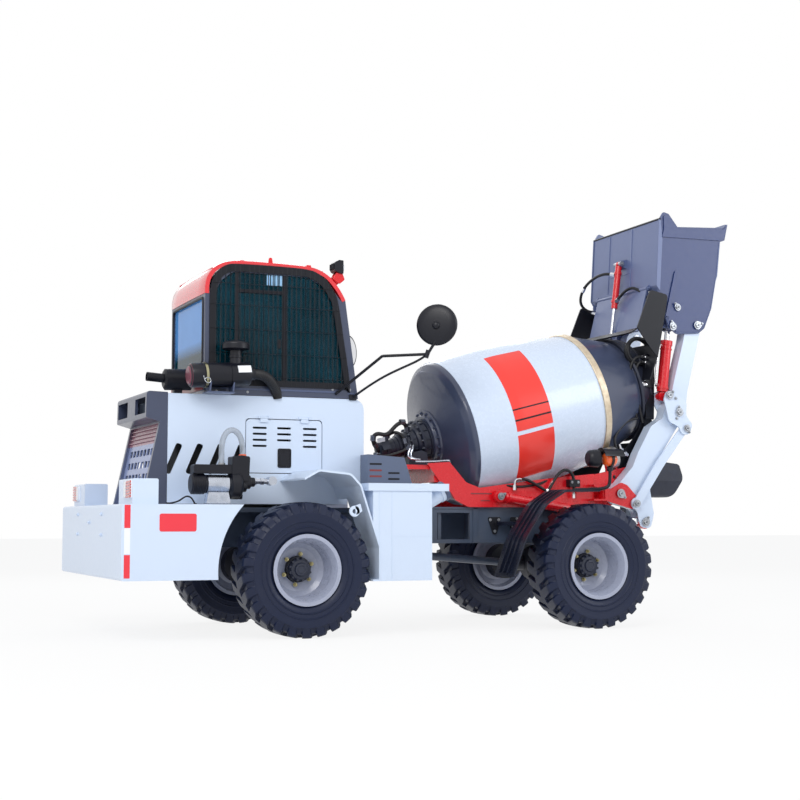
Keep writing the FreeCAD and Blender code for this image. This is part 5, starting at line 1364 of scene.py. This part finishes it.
# mouth: the funnel's section in metres along the drum, coil rows (radius, Y) and stubs (X, Y, Z, way)
mouthValues = {
    "funnel": ((1.192, 0.425), (1.192, 0.452), (1.210, 0.458), (1.218, 0.444), (1.300, 0.418), (1.306, 0.424),
               (1.318, 0.424), (1.322, 0.404), (1.300, 0.398), (1.215, 0.422)),
    "apron": ((1760, 1236, 20), (2010, 1222, 20), (2120, 1440, 30), (2128, 1700, 40), (2060, 1720, 20),
              (1960, 1560, 60), (1836, 1420, 40)),
    "link": ((2030, 1690, 10), (2110, 1690, 10), (2124, 2230, 10), (2036, 2230, 10)),
    "coil": ((118, -404), (124, -380), (116, -356)),
    "stubs": ((2020, -430, 2216, (-1, 0, 0.08)), (2020, -430, 2172, (-1, 0, 0.02)),
              (2000, -430, 1990, (-1, 0, 0.3)), (1776, -420, 1432, (-0.4, 0, 1)),
              (1812, -420, 1396, (-1, 0, 0.4)), (1742, -420, 1378, (-0.3, 0, 1))),
    "hoses": (((1976, 1930, 1890, 1880, 1900, 1960), (-430, -420, -400, -390, -385, -380),
               (2218, 2214, 2150, 2020, 1880, 1700), 0.013, 50),
              ((1976, 1950, 1925, 1930, 1970, 2010), (-430, -424, -410, -400, -395, -390),
               (2174, 2160, 2080, 1960, 1820, 1660), 0.013, 50),
              ((1740, 1716, 1700, 1760, 1850, 1960), (-420, -430, -430, -420, -405, -390),
               (1400, 1460, 1520, 1600, 1680, 1700), 0.012, 50))}


def mouthParts(v):
    # rubber funnel that meets the mouth, side aprons below it, a coiled hose and loose fittings beside it
    piece("mouthFunnel", alongDrum(v["funnel"], 72, loop=True), chuteRubber, "drum_frame", smooth=40)
    plates = [slab(v["apron"], *sorted((side * 352, side * 360))) for side, _ in bothSides]
    plates += [slab(v["link"], *sorted((side * 400, side * 412))) for side, _ in bothSides]
    piece("mouthAprons", plates, blackPaint, "drum_frame", bevel=0.002)
    a = np.linspace(0, 2 * np.pi, 48, endpoint=False)
    coil = [tube(spot(1984 + r * np.cos(a), y + 6 * np.sin(a + k), 2268 + 0.92 * r * np.sin(a)), 0.0135, 10,
                 closed=True) for k, (r, y) in enumerate(v["coil"])]
    piece("hoseCoil", coil, hoseRubber, "drum_frame")
    stubs = []
    for x, y, z, way in v["stubs"]:
        barb = [(-0.03, 0.0), (-0.03, 0.015), (0.0, 0.015), (0.0, 0.011), (0.045, 0.011), (0.045, 0.0)]
        stubs += [turned(barb, spot(x, y, z), way, 12), rod(spot(x, y, z), way, -0.012, 0.006, 0.019, 6)]
    piece("mouthFittings", stubs, chromeRod, "drum_frame", smooth=30)
    piece("mouthHoses", [hose(*row) for row in v["hoses"]], hoseRubber, "drum_frame")
    piece("valveBlock", panel(2012, 2090, 1960, 2240, 8, -440, -410), blackPaint, "drum_frame", bevel=0.003)


cradleTrim(cradleValues)
mouthParts(mouthValues)
print("cradle, mouth and brackets ready")

# bucket, its cylinders and hoses; back is (X, Z) of the back plate's foot and top
bucketTrimValues = {
    "back": ((2076, 2820), (2112, 3385)), "seams": (-112, 250), "wall": (540, 530),
    "corner": ((2106, 3392), (2070, 2822), (2090, 2790), (2104, 2770), (2136, 3214), (2120, 3392)),
    "edgeX": (2150, 2180, 2263, 2480, 2545, 2620, 2680, 2716),
    "edgeZ": (2600, 2500, 2421, 2436, 2484, 2655, 2945, 3232),
    "high": ((2004, 1960, 1930, 1912, 1906, 1926, 1990, 2066), (36, 96, 220, 360, 440, 480, 486, 480),
             (2992, 3010, 2996, 2940, 2860, 2780, 2730, 2716)),
    "low": ((1990, 1996, 2010, 2030, 2062, 2104, 2150, 2184), (-40, -74, -140, -220, -290, -350, -400, -424),
            (2754, 2776, 2824, 2846, 2812, 2730, 2660, 2622)),
    "hose": 0.0125, "collars": ((2028, 2998), (1994, 2746)), "gateAxis": (-0.1327, 0, -0.9912)}


def bucketTrim(v):
    lip = tube(spot(2114, np.linspace(-540, 540, 30), 3390), 0.009, 10)
    piece("bucketLip", lip, blackPlastic, "bucket_body")
    (x0, z0), (x1, z1) = v["back"]
    z = np.linspace(3374, 2850, 20)
    back = x0 + (z - z0) * (x1 - x0) / (z1 - z0)
    parts = [tube(spot(back - 1, y, z), 0.0045, 8) for y in v["seams"]]
    parts.append(tube(spot(2088, np.linspace(-120, 250, 12), 2990), 0.004, 8))
    for side, _ in bothSides:
        outer, inner = v["wall"]
        parts.append(slab(v["corner"], *sorted((side * outer, side * inner))))
        parts.append(tube(spot(v["edgeX"], side * 536, v["edgeZ"]), 0.0035, 8))
    piece("bucketSeams", parts, bucketPaint, "bucket_body")
    # hoses of the gate cylinder: each leaves the barrel and ends in a fitting on the bucket's back
    lines = []
    for name in ("high", "low"):
        line = smoothLine(spot(*v[name]), 70)
        made = piece("gateHose." + name, tube(line, v["hose"], 12), hoseRubber, None)
        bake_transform(made)
        lines.append(line)
    ends = [sleeve(q[1], q[3] - q[0], -0.02, 0.02, 0.013, 0.019) for q in lines]
    collars = [sleeve(spot(x, 0, z), v["gateAxis"], -0.010, 0.010, 0.027, 0.034, 32) for x, z in v["collars"]]
    piece("gateFittings", ends, chromeRod, "gate_cylinder", smooth=30)
    piece("gateCollars", collars, redPaint, "gate_cylinder")
    far = [sleeve(q[-2], q[-1] - q[-4], -0.02, 0.02, 0.013, 0.019) for q in lines]
    far.append(sleeve(lines[0][34], lines[0][36] - lines[0][33], -0.022, 0.022, 0.014, 0.019))
    piece("gateFittings.far", far, chromeRod, "bucket_body", smooth=30)
    pin = [rod(spot(2039, 0, 3081), (0, 1, 0), -0.055, 0.055, 0.021),
           bolts(0.010, 0.010, spot(2039, -55, 3081), (0, -1, 0))]
    piece("gatePin", pin, zincPlate, "bucket_body", smooth=30)


# rings are (from, to) in metres along a cylinder; the hard line is (metres along it, share of the step away)
cylinderValues = {"tiltY": 465, "liftY": 487, "tiltRings": ((0.436, 0.476), (0.060, 0.078), (0.400, 0.408)),
                  "liftRings": ((0.690, 0.724), (0.070, 0.086)), "tiltWay": (0.119677, 0, 0.992813),
                  "line": ((0.432, 0.55), (0.436, 0.9), (0.424, 1.1), (0.36, 1.12), (0.24, 1.12),
                           (0.14, 1.12), (0.098, 1.1), (0.086, 0.9), (0.088, 0.55)), "nuts": (0.434, 0.087)}


def cylinderTrim(v):
    # glands and weld rings of the tilt and lift cylinders, a hard line on each tilt cylinder, lift eyes
    along = np.array(v["tiltWay"])
    for side, tag in bothSides:
        base = spot(2154, side * v["tiltY"], 1886)
        rings = [sleeve(base, along, s0, s1, 0.0445, 0.052, 40) for s0, s1 in v["tiltRings"]]
        piece("tiltGland." + tag, rings, redPaint, "tilt_cylinders")
        off = np.array([-0.0720, side * 0.004, 0.008])
        run = np.stack([base + along * s + off * k for s, k in v["line"]])
        parts = [tube(smoothLine(run, 70), 0.007, 10)]
        parts += [rod(base + along * s + off * 0.72, off, -0.016, 0.016, 0.016, 6) for s in v["nuts"]]
        piece("tiltLine." + tag, parts, chromeRod, "tilt_cylinders", smooth=30)
        foot, eye = spot(600, side * v["liftY"], 1031), spot(1940, side * v["liftY"], 826)
        way = (eye - foot) / np.linalg.norm(eye - foot)
        rings = [sleeve(foot, way, s0, s1, 0.0385, 0.046, 40) for s0, s1 in v["liftRings"]]
        piece("liftGland." + tag, rings, redPaint, "lift_cylinders")
        ring = sleeve(eye, (0, 1, 0), -0.028, 0.028, 0.034, 0.056, 36)
        piece("liftEye." + tag, ring, redPaint, "lift_pistons", bevel=0.003)
    # bolts on the cranks
    for side, tag in bothSides:
        heads = bolts(0.011, 0.012, spot([2219, 2226], side * 577, [1861, 1693]), (0, side, 0))
        piece("crankBolts." + tag, heads, zincPlate, "cranks", smooth=30)


mirrorValues = {"strut": ((-664, -610, -500, -380, -290, -246), (-486, -560, -690, -800, -880, -932),
                          (1776, 1830, 1924, 1990, 2036, 2074), 0.009), "head": (-166, -962, 2308),
                "facing": (-24, -32, 0)}


def mirrorTrim(v):
    head, facing = v["head"], v["facing"]
    clamp = rod(spot(-236, -938, 2086), (0.3, -0.15, 1), -0.03, 0.03, 0.018, 20)
    foot = panel(-690, -630, 1756, 1800, 6, -494, -482)
    back = turned([(-0.014, 0.0), (-0.014, 0.152), (0.0, 0.158), (0.012, 0.154), (0.022, 0.140),
                   (0.030, 0.100), (0.034, 0.050), (0.035, 0.0)], spot(*head), facing, 56)
    ball = turned([(0.030, 0.0), (0.030, 0.030), (0.050, 0.026), (0.058, 0.012), (0.058, 0.0)],
                  spot(*head[:2], head[2] - 8), facing, 24)
    glass = turned([(0.0, 0.0), (0.0, 0.140), (0.004, 0.138), (0.010, 0.100), (0.013, 0.0)],
                   spot(-149, -940, head[2]), -np.array(facing), 56)
    pairs("engine_frame", ("mirrorStay", [hose(*v["strut"]), clamp, foot], blackPlastic, {}),
          ("mirrorHead", [back, ball], blackPlastic, {"smooth": 50}),
          ("mirrorGlass", [glass], chromeRod, {"smooth": 50}))


bucketTrim(bucketTrimValues)
cylinderTrim(cylinderValues)
mirrorTrim(mirrorValues)
print("bucket, cylinders and mirrors ready")
